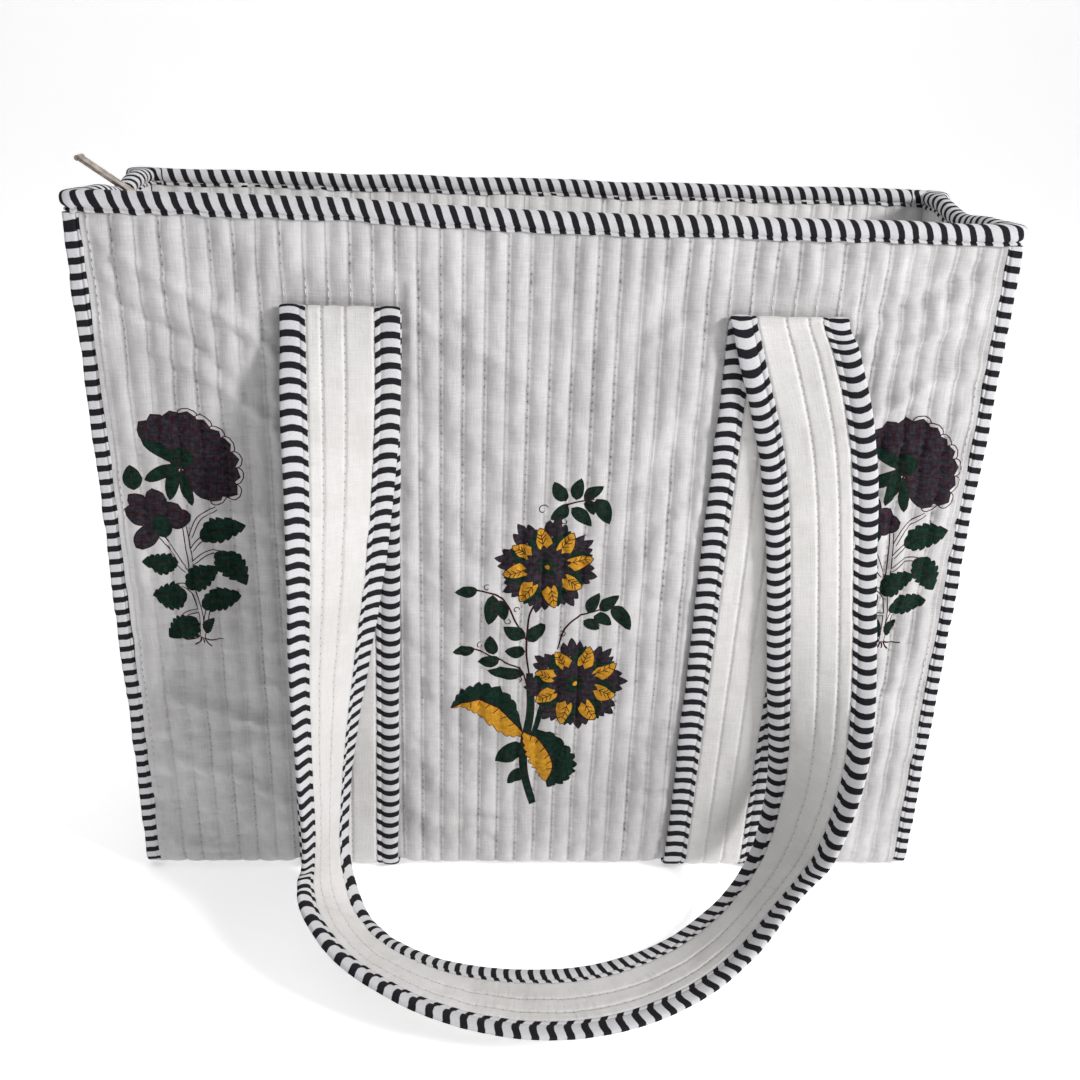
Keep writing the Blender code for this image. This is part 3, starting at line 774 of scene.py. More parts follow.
def gusset_stitches(name, side):
    """The running stitches of a gusset's quilting lines."""
    starts, ends, outward = [], [], []
    for line in range(-4, 5):
        phase = float(line_phase(np.array(float(line))))
        count = np.arange(4, int((WALL_TOP - 0.012) / STITCH))
        for share, group in zip(STITCH_ENDS, (starts, ends)):
            z = (count + share - phase) * STITCH
            y = line * CHANNEL - line_wander(z, np.full_like(z, line), GUSSET_SEED + side)
            height, _ = quilt(y, z, GUSSET_SEED + side)
            level = height + gusset_swell(y, z, side) + THREAD_LIFT
            group.append(np.stack([side * (SHELL_HALF + level), y, z], -1))
        outward.append(np.tile([side, 0.0, 0.0], (len(count), 1)))
    return stitches(name, np.concatenate(starts), np.concatenate(ends), np.concatenate(outward))


# ---- Striped bindings
def smooth_line(points, count, closed=False):
    """A smooth curve with that many points through the given ones."""
    points = np.asarray(points, float)
    if closed:
        points = np.concatenate([points[-1:], points, points[:2]])
    else:
        points = np.concatenate([2 * points[:1] - points[1:2], points, 2 * points[-1:] - points[-2:-1]])
    spans = len(points) - 3
    place = np.linspace(0, spans, count, endpoint=not closed)
    index = np.minimum(place.astype(int), spans - 1)
    t = (place - index)[:, None]
    before, start, end, after = (points[index + k] for k in range(4))
    # The Catmull-Rom curve: it passes through each given point.
    return 0.5 * (2 * start + (end - before) * t + (2 * before - 5 * start + 4 * end - after) * t ** 2
                  + (3 * start - before - 3 * end + after) * t ** 3)


RIM_PITCH = 0.0067                  # from one black stripe to the next
RIM_TURN = 0.0025                   # radius of the binding's turn at a corner
RIM_STEP = 0.0014
RIM_SECTION = [
    # distance out from the middle of the wall, height below the crown
    (0.0027, 0.0094), (0.0033, 0.0093), (0.0035, 0.0088), (0.0033, 0.0082), (0.0029, 0.0078),
    (0.0037, 0.0070), (0.0046, 0.0055), (0.0047, 0.0036), (0.0038, 0.0014), (0.0019, 0.0002), (0.0, 0.0),
    (-0.0019, 0.0002), (-0.0037, 0.0014), (-0.0045, 0.0033), (-0.0044, 0.0048), (-0.0037, 0.0061),
    (-0.0029, 0.0067), (-0.0034, 0.0072), (-0.0035, 0.0078), (-0.0033, 0.0083), (-0.0027, 0.0085),
]
RIM_GROOVES = (0.0078, 0.0067)      # outer and inner stitch line, below the crown


def rim_stops():
    """Stops round the mouth at even steps: place and outward direction."""
    mid_x, mid_y = SHELL_HALF - WALL / 2, HALF_DEPTH - WALL / 2
    corners = [(1, -1), (1, 1), (-1, 1), (-1, -1)]
    places, outward = [], []
    for index, (sx, sy) in enumerate(corners):
        ex, ey = corners[index - 1]
        start_angle = math.atan2(sy, sx) - math.pi / 4
        previous = np.array([ex * (mid_x - RIM_TURN), ey * (mid_y - RIM_TURN)])
        centre = np.array([sx * (mid_x - RIM_TURN), sy * (mid_y - RIM_TURN)])
        direction = np.array([math.cos(start_angle), math.sin(start_angle)])
        length = np.linalg.norm(centre - previous)
        for share in np.arange(0.5 * RIM_STEP / length, 1, RIM_STEP / length):
            places.append(previous + (centre - previous) * share + direction * RIM_TURN)
            outward.append(direction)
        for angle in np.linspace(start_angle, start_angle + math.pi / 2, 8):
            turned = np.array([math.cos(angle), math.sin(angle)])
            places.append(centre + turned * RIM_TURN)
            outward.append(turned)
    return np.array(places), np.array(outward)


def ear_share(x, y):
    """1 at the mouth's corners, falling to 0 along the rim of each gusset."""
    return smoothstep(0.034, HALF_DEPTH - WALL / 2, np.abs(y)) * (np.abs(x) > 0.196)


def rim_run(places, outward):
    """Distance round the mouth along the binding's outer face, and the whole length."""
    face = places + outward * 0.0042
    corner_ear = ear_share(places[:, 0], places[:, 1])
    face[:, 0] += 0.7 * EAR * corner_ear * np.sign(places[:, 0])
    along = run_lengths(np.concatenate([face, face[:1]]))
    return along[:-1], along[-1]


def rim():
    """The binding over the wall's top edge, in one loop."""
    places, outward = rim_stops()
    count = len(places)
    section = smooth_line(RIM_SECTION, 41)
    along, total = rim_run(places, outward)
    stripes = round(total / RIM_PITCH)
    a, w = np.meshgrid(along, run_lengths(section), indexing="ij")
    out, below = np.tile(section[:, 0], (count, 1)), np.tile(section[:, 1], (count, 1))
    x, y = places[:, 0][:, None], places[:, 1][:, None]
    # The tape bulges unevenly, and the stitches pinch it at each hole.
    beat = np.cos(2 * math.pi * a / PINCH)
    groove = np.exp(-((below - np.where(out > 0, *RIM_GROOVES)) / 0.0010) ** 2)
    swell = 1 + 0.10 * value_noise(a / 0.011, w / 0.006, 5.0) + 0.05 * value_noise(a / 0.0035, w / 0.003, 6.0)
    out = out * swell - np.sign(out) * groove * (0.00022 + 0.00022 * beat)
    level = HEIGHT - below + 0.0005 * value_noise(a / 0.028, 0 * a, 7.0) - side_dip(y) * (np.abs(x) > 0.2)
    level += 0.0005 * value_noise(a / 0.006, 0 * a, 8.0) * smoothstep(0.005, 0.0094, below)
    ear = EAR * ear_share(x, y) * np.sign(x) * smoothstep(-0.0036, 0.0036, section[:, 0])[None, :]
    points = np.stack([x + outward[:, :1] * out + ear, y + outward[:, 1:] * out, level], -1)
    lean = a + 0.33 * w
    shift = np.where(w < 0.0024, 0.0005, 0.0)
    maps = {"cloth": np.stack([(lean + shift) * stripes / total, w], -1)}
    faces = grid_faces(count, len(section), closed_rows=True, closed_columns=True)
    piece = make_piece("rim_binding_tape", points, faces[:, ::-1], [STRIPES], maps)
    fix_wrap(piece, stripes)
    return piece


def fix_wrap(piece, stripes):
    """Where a loop closes, the stripe count jumps back to its start; lift those corners by one full loop."""
    layer = piece.data.uv_layers["cloth"]
    values = np.zeros(2 * len(layer.data), np.float32)
    layer.data.foreach_get("uv", values)
    values = values.reshape(-1, 4, 2)
    wide = values[:, :, 0].max(1) - values[:, :, 0].min(1) > stripes / 2
    low = values[:, :, 0] < stripes / 2
    values[:, :, 0] += np.where(wide[:, None] & low, stripes, 0)
    layer.data.foreach_set("uv", values.ravel())


SEAM_PITCH = 0.0070
SEAM_MIDDLE = 0.0029                # middle of the roll, below the panel's face
SEAM_SECTION = [
    # across the roll from its middle, and depth below the panel's face
    (-0.0040, 0.0012), (-0.0036, 0.0004), (-0.0028, 0.0002), (-0.0022, 0.0007), (-0.0014, -0.0003),
    (0.0004, -0.0009), (0.0022, -0.0005), (0.0035, 0.0009), (0.0040, 0.0029), (0.0035, 0.0048),
    (0.0018, 0.0058), (-0.0006, 0.0060), (-0.0026, 0.0056), (-0.0036, 0.0046), (-0.0040, 0.0028),
]


def wall_line(top, step=0.0016):
    """Round the bag's section from the front top to the rear top: y, z, ny, nz and share of turn."""
    start = WALL_TOP - top
    run = np.linspace(start, HALF_RUN, int((HALF_RUN - start) / step) + 1)
    y, z, ny, nz, turned = wrap(run)
    front = np.stack([y, z, ny, nz, turned], -1)
    rear = front[-2::-1] * np.array([-1, 1, -1, 1, 1])
    return np.concatenate([front, rear])


def seam(name, side):
    """The binding rolled over one bound corner seam."""
    line = wall_line(HEIGHT - RIM_DROP + 0.002)
    section = smooth_line(SEAM_SECTION, 30, closed=True)
    section = np.concatenate([section, section[:1]])
    a, w = np.meshgrid(run_lengths(line[:, :2]), run_lengths(section), indexing="ij")
    across, depth = np.tile(section[:, 0], (len(line), 1)), np.tile(section[:, 1], (len(line), 1))
    swell = 1 + 0.09 * value_noise(a / 0.010, w / 0.006, 21.0 + side)
    swell += 0.06 * value_noise(a / 0.0037, w / 0.004, 22.0)
    across = across * swell + 0.0004 * value_noise(a / 0.030, 0 * a, 24.0 + side)
    depth = SEAM_MIDDLE + (depth - SEAM_MIDDLE) * swell
    turned = line[:, 4][:, None]
    depth = np.maximum(depth, 0.0002 * turned)
    middle = side * (SHELL_HALF + GAP + SEAM_ROLL / 2)
    y = line[:, 0][:, None] - line[:, 2][:, None] * depth
    z = line[:, 1][:, None] - line[:, 3][:, None] * depth
    points = np.stack([middle + side * across, y, z], -1)
    lean = a - 0.10 * across * np.sign(SEAM_MIDDLE - depth)
    shift = np.where(w < 0.0020, 0.0004, 0.0)
    faces = grid_faces(len(line), len(section))
    if side > 0:
        faces = faces[:, ::-1]
    maps = {"cloth": np.stack([(lean + shift) / SEAM_PITCH, w], -1)}
    return make_piece(name, points, faces, [STRIPES], maps)


# ---- Straps
STRAP_PITCH = 0.0071                # from one black stripe to the next
STRAP_SEAM = 0.0181                 # stitch line of a binding, from the strap's middle
BINDING_TOP = [
    # across the strap and height over its middle layer, from the outer edge to the stitched flange
    (-0.0275, 0.0), (-0.0273, 0.0009), (-0.0262, 0.0016), (-0.0240, 0.0020), (-0.0215, 0.0020),
    (-0.0193, 0.0016), (-STRAP_SEAM, 0.0009), (-0.0176, 0.0012), (-0.0168, 0.0013), (-0.0160, 0.0012),
    (-0.0155, 0.0008),
]


def upper_and_lower(across):
    """A closed section, out over the top (height 1) and back underneath (height -1)."""
    sides = (across, 1.0), (across[::-1], -1.0)
    return np.concatenate([np.stack([row, np.full(len(row), height)], -1) for row, height in sides])


def strap_profile(kind):
    """The closed section of a strap piece: place across the strap and height over its middle layer."""
    if kind == "band":
        edge = STRAP_HALF - STRAP_BINDING + 0.0006
        return upper_and_lower(np.linspace(-edge, edge, 44))
    bottom = [(x, -h) for x, h in BINDING_TOP[:0:-1]]
    line = smooth_line(BINDING_TOP + bottom, 46, closed=True)
    line = np.concatenate([line, line[:1]])
    return line if kind == "binding_outer" else line * np.array([-1, 1])


def band_relief(a, w, side, lines, seed):
    """Height of the strap's quilted band at a run along and a place across it, and its maps."""
    stops = np.array([-STRAP_HALF + STRAP_BINDING, *lines, STRAP_HALF - STRAP_BINDING])
    gaps = np.abs(w[..., None] - stops)
    away = gaps.min(-1)
    nearest = gaps.argmin(-1)
    count = a / STITCH + line_phase(nearest + 0.37)
    puff = 0.00085 * np.minimum(np.sin(math.pi * np.clip(away / CHANNEL, 0, 0.5)) ** 0.6, 1)
    soft = 1 + 0.30 * value_noise(a / 0.010, w / 0.007, seed)
    puff *= soft + 0.20 * value_noise(a / 0.0045, w / 0.012, seed + 1)
    dent = 0.00016 * np.cos(2 * math.pi * (count - 0.5)) * np.exp(-(away / 0.0018) ** 2)
    height = side * (0.00055 + puff - dent) + 0.00035 * value_noise(a / 0.0075, w / 0.030, seed + 2)
    return height, {"cloth": np.stack([w, a], -1), "stitch": np.stack([away / MM, count], -1)}


def binding_relief(a, w, height, around, seed):
    """Place across and height of a strap's binding once it bulges and is pinched by stitches, and its map."""
    swell = 1 + 0.10 * value_noise(a / 0.010, w / 0.008, seed + 4)
    swell += 0.07 * value_noise(a / 0.0036, w / 0.004, seed + 5)
    groove = np.exp(-((np.abs(w) - STRAP_SEAM) / 0.0008) ** 2)
    height = height * swell - np.sign(height) * groove * 0.00018 * np.cos(2 * math.pi * a / PINCH)
    w = w + np.sign(w) * 0.00035 * value_noise(a / 0.017, 0 * a, seed + 6) * (np.abs(w) > 0.024)
    # The stripes bow a little, and jump where the flange is turned under.
    bow = 0.0011 * ((np.abs(w) - 0.0228) / 0.0047) ** 2
    lean = a + bow + np.where(np.abs(w) < 0.0180, 0.0004, 0.0)
    return w, height, {"cloth": np.stack([lean / STRAP_PITCH, np.broadcast_to(around, w.shape)], -1)}


def strap_piece(name, kind, frames, along, seed, lines, thin, sewn_down=False):
    """Sweep a strap section along frames. along is the run for stripes and stitches; thin scales the height."""
    points, across, normal = frames
    section = strap_profile(kind)
    a, w = np.meshgrid(along, section[:, 0], indexing="ij")
    height = np.tile(section[:, 1], (len(along), 1))
    if kind == "band":
        height, maps = band_relief(a, w, height, lines, seed)
    else:
        w, height, maps = binding_relief(a, w, height, run_lengths(section), seed)
    height = height * np.reshape(thin, (-1, 1))
    if sewn_down:
        height = np.maximum(height, -STRAP_THICK / 2 + 0.00005)
    place = points[:, None] + across[:, None] * w[..., None] + normal[:, None] * height[..., None]
    columns = len(section)
    ring = columns if kind == "band" else columns - 1
    faces = grid_faces(len(along), columns, closed_columns=(kind == "band")).tolist()
    faces.append(list(range(ring))[::-1])
    last = (len(along) - 1) * columns
    faces.append([last + i for i in range(ring)])
    piece = make_piece(name, place, faces, [STRAP_CLOTH if kind == "band" else STRIPES], maps)
    orient(piece)
    return piece


def orient(piece):
    """Turn all faces outwards, and keep the flat ends crisp."""
    shape = bmesh.new()
    shape.from_mesh(piece.data)
    bmesh.ops.recalc_face_normals(shape, faces=shape.faces)
    for face in shape.faces:
        if len(face.verts) > 4:
            face.smooth = False
            for edge in face.edges:
                edge.smooth = False
    shape.to_mesh(piece.data)
    shape.free()


def stitched_frames(side, front_x, rear_x):
    """Frames of the strap that is sewn round the bag, from its front fold to its rear fold, and its run."""
    line = wall_line(FOLD_Z, 0.0020)
    y, z, ny, nz, turned = line.T
    middle = STRAP_THICK / 2 - LIFT * (1 - turned)
    half = len(line) // 2
    top_x = np.where(np.arange(len(line)) <= half, front_x, rear_x)
    x = strap_middle(top_x, side * STRAP_BASE_X, z)
    points = np.stack([x, y - ny * middle, z - nz * middle], -1)
    normal = np.stack([0 * x, ny, nz], -1)
    across = np.tile([-float(side), 0.0, 0.0], (len(line), 1))
    return (points, across, normal), run_lengths(points)


def unit(vectors):
    return vectors / np.linalg.norm(vectors, axis=-1, keepdims=True)


def handle_frames(facing):
    """Frames of a free handle between its folds, and its run; its ends ease into the folds' directions."""
    frames_per_stop = 15
    eased = 16
    curve = smooth_line(HANDLE_ROUTE, (len(HANDLE_ROUTE) - 1) * frames_per_stop + 1)
    points = curve[:, :3]
    along = np.gradient(points, axis=0)
    along[0], along[-1] = (0, 0, -1), (0, 0, 1)
    across = curve[:, 3:].copy()
    for end, inward in ((0, 1), (-1, -1)):
        share = smoothstep(0, eased, np.arange(eased))[:, None]
        near = slice(0, eased) if inward > 0 else slice(-1, -eased - 1, -1)
        along[near] = unit(along[end]) * (1 - share) + unit(along[near]) * share
        across[near] = unit(across[end]) * (1 - share) + unit(across[near]) * share
    along = unit(along)
    normal = unit(np.cross(along, across))
    across = np.cross(normal, along)
    turn = np.array([-facing, -facing, 1.0])
    return (points * turn, across * turn, normal * turn), run_lengths(points)


def fold_frames(end, across):
    """Frames of the half-turn from the panel's side over the hinge line to the free side."""
    facing = math.copysign(1, end[1])
    steps = 14
    turn = np.linspace(0, math.pi, steps)
    outward = np.stack([0 * turn, -facing * np.cos(turn), np.sin(turn)], -1)
    centre = np.array([end[0], facing * HINGE_Y, FOLD_Z])
    points = centre + outward * FOLD_RADIUS
    return (points, np.tile(across, (steps, 1)), outward), run_lengths(points)


def thinned(points):
    """A strap's thickness at each frame, as a share: its bindings lie flatter as they near the fold."""
    return 1 - (1 - FOLD_THIN) * smoothstep(FOLD_Z - 0.016, FOLD_Z - 0.003, points[:, 2])


STRAP_SLOTS = {"band": "strap_cotton", "binding_outer": "striped_binding", "binding_inner": "striped_binding"}
LEFT_LINES = (-0.0085, 0.0020)      # the band's quilting lines, across the strap
RIGHT_LINES = (-0.0052, 0.0052)
FOLD_RUN = math.pi * (FOLD_RADIUS + 0.0020)     # round the outer face of a fold
FIRST_STRIPE = 0.45 * STRAP_PITCH


def straps():
    """Stitched straps, folds and handles. Stripes run on from one to the next round the whole loop."""
    left_x, right_x = STRAP_FRONT_X
    sewn = {"left": stitched_frames(-1, left_x, -right_x), "right": stitched_frames(1, right_x, -left_x)}
    handles = {"front": handle_frames(-1), "rear": handle_frames(1)}
    sewn_run, handle_run = sewn["left"][1][-1], handles["front"][1][-1]
    # The loop goes down the left strap from its front fold, over the rear handle, up the right strap
    # and back over the front handle.
    starts = {"left": FIRST_STRIPE, "right": FIRST_STRIPE + 2 * sewn_run + 2 * FOLD_RUN + handle_run,
              "rear": FIRST_STRIPE + sewn_run + FOLD_RUN + handle_run,
              "front": FIRST_STRIPE + 2 * sewn_run + 3 * FOLD_RUN + 2 * handle_run}
    for name, (frames, along) in sewn.items():
        stripes = starts[name] + (along if name == "left" else -along)
        lines = LEFT_LINES if name == "left" else RIGHT_LINES
        for kind, slot in STRAP_SLOTS.items():
            piece = strap_piece(f"strap_{name}_{kind}_cloth", kind, frames, stripes, 70.0, lines,
                                thinned(frames[0]), sewn_down=True)
            dress(piece, "bag", slot, f"strap_{name}_{kind}")
    for name, (frames, along) in handles.items():
        for kind, slot in STRAP_SLOTS.items():
            piece = strap_piece(f"handle_{name}_{kind}_cloth", kind, frames, starts[name] - along, 80.0,
                                LEFT_LINES, thinned(frames[0]))
            dress(piece, f"{name}_handle", slot, f"handle_{name}_{kind}")
        fold(name, frames, 0, 1, starts[name] + FOLD_RUN)
        fold(name, frames, -1, -1, starts[name] - handle_run - FOLD_RUN)


def fold(name, handle, end, step, start):
    """The cloth folded over at one end of a handle. start counts its stripes."""
    points, across, _ = handle
    frames, along = fold_frames(points[end], across[end])
    stripes = start - step * along * FOLD_RUN / along[-1]
    side = "left" if points[end][0] < 0 else "right"
    for kind, slot in STRAP_SLOTS.items():
        piece = strap_piece(f"fold_{name}_{side}_{kind}", kind, frames, stripes, 90.0, LEFT_LINES, FOLD_THIN)
        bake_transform(piece)


def dress(piece, body, slot, *nodes):
    """Ride a piece on its body and hide the CAD nodes that it stands for. The finish, slot, is not used."""
    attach(piece, body)
    if nodes:
        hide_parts(*nodes)
    return piece


# ---- Zip top
ZIP_HALVES = {
    # from x, to x, and where the bend starts at the fixed end and ends on the flap
    "left": (-0.2022, 0.0, -0.178, -0.100),
    "right": (0.0, 0.2022, 0.140, 0.060),
}
ZIP_STEP = 0.0016


def zip_flaps():
    """Facing, tape and teeth in left and right halves."""
    for facing, flap in ((-1, "front"), (1, "rear")):
        for half, (x_from, x_to, fixed_x, free_x) in ZIP_HALVES.items():
            x = np.linspace(x_from, x_to, int((x_to - x_from) / ZIP_STEP))
            pieces = [facing_cloth(f"zip_facing_{flap}_{half}", x, facing),
                      zip_tape(f"zip_tape_{flap}_{half}", x, facing),
                      zip_coil(f"zip_coil_{flap}_{half}", x_from, x_to, facing)]
            for piece, slot in zip(pieces, ("white_cotton", "zip_tape", "zip_teeth")):
                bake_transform(piece)
            if half == "left":
                for piece, node in zip(pieces, ("facing", "tape", "teeth")):
                    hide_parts(f"zip_{node}_{flap}")
                if facing < 0:
                    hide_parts("zip_end_left", "zip_end_right")


def facing_cloth(name, x, facing):
    """The quilted strip between the wall and the zip tape, quilted across the zip."""
    inner = FACING_IN - 0.0006
    section = upper_and_lower(FACING_OUT + (inner - FACING_OUT) * np.linspace(0, 1, 22))
    x_grid, out = np.meshgrid(x, section[:, 0], indexing="ij")
    side = np.tile(section[:, 1], (len(x), 1))
    height, stitch = quilt(x_grid, out, 120.0 + facing, 0.0011)
    edge = smoothstep(FACING_IN + 0.004, FACING_IN, out) + smoothstep(FACING_OUT - 0.004, FACING_OUT, out)
    level = side * (0.0009 + height * (1 - edge))
    level += 0.0006 * value_noise(x_grid / 0.05, out / 0.04, 130.0 + facing)
    points = np.stack([x_grid, facing * out, ZIP_Z + level], -1)
    maps = {"cloth": np.stack([x_grid, out], -1), "stitch": stitch}
    piece = make_piece(name, points, capped(len(x), len(section)), [LINING], maps)
    orient(piece)
    return piece


def capped(rows, columns):
    """Faces of a closed tube with a cap at each end."""
    faces = grid_faces(rows, columns, closed_columns=True).tolist()
    last = (rows - 1) * columns
    return faces + [list(range(columns))[::-1], [last + i for i in range(columns)]]


ZIP_TAPE = np.array([
    # distance from the zip line, half the thickness, and rise over the zip's level at the facing's edge
    (FACING_IN + 0.0012, 0.0003, 0.0015), (FACING_IN - 0.0003, 0.00035, 0.0006), (0.0140, 0.00035, 0.0001),
    (0.0120, 0.00035, 0), (0.0100, 0.00035, 0), (0.0080, 0.00035, 0), (0.0062, 0.00045, 0),
    (0.0052, 0.0006, 0), (0.0044, 0.00045, 0), (TAPE_IN, 0.00035, 0),
])


def zip_tape(name, x, facing):
    """Woven tape, with a raised cord beside the teeth."""
    across, thick, lift = ZIP_TAPE.T
    top, bottom = np.stack([across, lift + thick], -1), np.stack([across, lift - thick], -1)
    section = np.concatenate([top, bottom[::-1]])
    x_grid, out = np.meshgrid(x, section[:, 0], indexing="ij")
    level = np.tile(section[:, 1], (len(x), 1))
    level += 0.0002 * value_noise(x_grid / 0.02, out / 0.02, 140.0 + facing)
    points = np.stack([x_grid, facing * out, ZIP_Z + level], -1)
    maps = {"cloth": np.stack([x_grid, out], -1)}
    piece = make_piece(name, points, capped(len(x), len(section)), [TAPE], maps)
    orient(piece)
    return piece


def zip_coil(name, x_from, x_to, facing):
    """A nylon coil: one wire wound in flat loops along the tape's edge."""
    pitch, wire, steps, sides = 0.0016, 0.00036, 10, 5
    margin = 0.0001
    turns = int((x_to - x_from - 2 * margin) / pitch)
    t = np.arange(turns * steps + 1) / steps
    on_tape = TAPE_IN + 0.0009
    middle, reach, rise = (on_tape + TEETH_IN) / 2, (on_tape - TEETH_IN) / 2 - wire, 0.00075
    angle = 2 * math.pi * t
    # The rear coil is shifted along, so that its loops fall between those of the front one.
    x = x_from + margin + wire + pitch * t + (0.25 * pitch if facing > 0 else 0.0)
    line = np.stack([x, facing * (middle + reach * np.cos(angle)), ZIP_Z + rise * np.sin(angle)], -1)
    line[:, 0] = np.minimum(line[:, 0], x_to - wire)
    return tube(name, line, wire, sides, TEETH)


def tube(name, line, radius, sides, material):
    """A round wire along a line of points."""
    along = unit(np.gradient(line, axis=0))
    helper = np.where(np.abs(along[:, :1]) < 0.9, [[1.0, 0, 0]], [[0, 0, 1.0]])
    first = unit(np.cross(along, helper))
    second = np.cross(along, first)
    turn = 2 * math.pi * np.arange(sides) / sides
    ring = first[:, None] * np.cos(turn)[None, :, None] + second[:, None] * np.sin(turn)[None, :, None]
    piece = make_piece(name, line[:, None] + ring * radius, capped(len(line), sides), [material])
    orient(piece)
    return piece


# ---- Prints
# A shape is an outline in millimetres on the panel, x from the middle and z above the base, with its ink.
def stroke(points, width, ends=0.35, count=14):
    """Outline of a line drawn with a brush, thinner at its ends."""
    line = smooth_line(points, count)
    along = unit(np.gradient(line, axis=0))
    aside = np.stack([-along[:, 1], along[:, 0]], -1)
    share = np.linspace(0, 1, count)
    half = width / 2 * (ends + (1 - ends) * np.sin(math.pi * share) ** 0.5)
    return np.concatenate([line + aside * half[:, None], (line - aside * half[:, None])[::-1]])


def saw(count, teeth, depth):
    """Shares from 1 down by depth and up again, tooth by tooth, along an edge."""
    return 1 - depth * ((np.linspace(0, teeth, count) % 1.0) ** 1.5)


def leaf(base, tip, width, teeth=0, bend=0.0):
    """A leaf's outline from its stalk to its tip, with teeth along both edges."""
    base, tip = np.array(base, float), np.array(tip, float)
    along = tip - base
    aside = np.array([-along[1], along[0]]) / np.linalg.norm(along)
    count = 5 * teeth + 1 if teeth else 10
    share = np.linspace(0, 1, count)
    spread = np.sin(math.pi * share ** 0.8) ** 0.75 * width / 2
    if teeth:
        spread = spread * saw(count, teeth, 0.30)
    middle = base + along * share[:, None] + aside * (bend * np.sin(math.pi * share))[:, None]
    return np.concatenate([middle + aside * spread[:, None], (middle - aside * spread[:, None])[-2:0:-1]])


def grown(outline, by):
    """The same outline, moved outwards."""
    ahead, behind = np.roll(outline, -1, axis=0), np.roll(outline, 1, axis=0)
    along = ahead - behind
    along /= np.maximum(np.linalg.norm(along, axis=1, keepdims=True), 1e-9)
    turned = np.stack([along[:, 1], -along[:, 0]], -1)
    area = np.sum(outline[:, 0] * ahead[:, 1] - ahead[:, 0] * outline[:, 1])
    return outline + turned * by * (1 if area > 0 else -1)


def outlined(outline, key, by=0.45, edge="maroon"):
    """A shape over its own darker outline, as two shapes."""
    return [(grown(outline, by), edge), (outline, key)]


def veined_leaf(base, tip, width, teeth=0, bend=0.0, key="green"):
    """An outlined leaf with a midrib."""
    base, tip = np.array(base, float), np.array(tip, float)
    aside = np.array([-(tip - base)[1], (tip - base)[0]]) / np.linalg.norm(tip - base)
    shapes = outlined(leaf(base, tip, width, teeth, bend), key, 0.35)
    middle = (base + tip) / 2 + aside * bend
    shapes.append((stroke([base, middle, base + (tip - base) * 0.82], 0.4, count=6), "maroon"))
    return shapes


def edge_leaf(rib, edge, teeth, key):
    """Half of a big leaf, between its rib and a toothed edge."""
    count = 5 * teeth + 1
    rib, edge = smooth_line(rib, count), smooth_line(edge, count)
    outer = rib + (edge - rib) * saw(count, teeth, 0.22)[:, None]
    return outlined(np.concatenate([rib, outer[-2:0:-1]]), key, 0.4)


def curl(centre, size, turn):
    """A tendril that winds in on itself."""
    angle = turn + np.linspace(0, 1.6 * math.pi, 9)
    reach = size * np.linspace(1.0, 0.3, 9)
    line = np.array(centre) + np.stack([np.cos(angle), np.sin(angle)], -1) * reach[:, None]
    return [(stroke(line, 0.55, 0.7, 16), "maroon")]


def polar(centre, angle, reach):
    """The point at an angle and a distance from a centre."""
    return np.array(centre, float) + reach * np.array([math.cos(angle), math.sin(angle)])


def petal(centre, angle, inner, outer, width, blunt=0.0):
    """A petal that points away from a flower's centre; blunt rounds its tip."""
    share = np.linspace(0, 1, 12)
    spread = np.sin(math.pi * share ** (0.9 + 0.5 * blunt)) ** (0.9 - 0.45 * blunt) * width / 2
    aside = np.array([-math.sin(angle), math.cos(angle)])
    middle = np.array([polar(centre, angle, inner + (outer - inner) * part) for part in share])
    return np.concatenate([middle + aside * spread[:, None], (middle - aside * spread[:, None])[-2:0:-1]])


def feather(centre, angle, inner, outer, spread):
    """Veins that branch in pairs off a petal's middle line."""
    shapes = [(stroke([polar(centre, angle, inner), polar(centre, angle, outer)], 0.45, count=5), "maroon")]
    for reach in np.linspace(inner + 1.5, outer - 2.5, 3):
        root = polar(centre, angle, reach)
        for side in (-1, 1):
            tip = polar(centre, angle + side * spread, reach + 2.6)
            shapes.append((stroke([root, tip], 0.5, 0.6, 5), "maroon"))
    return shapes


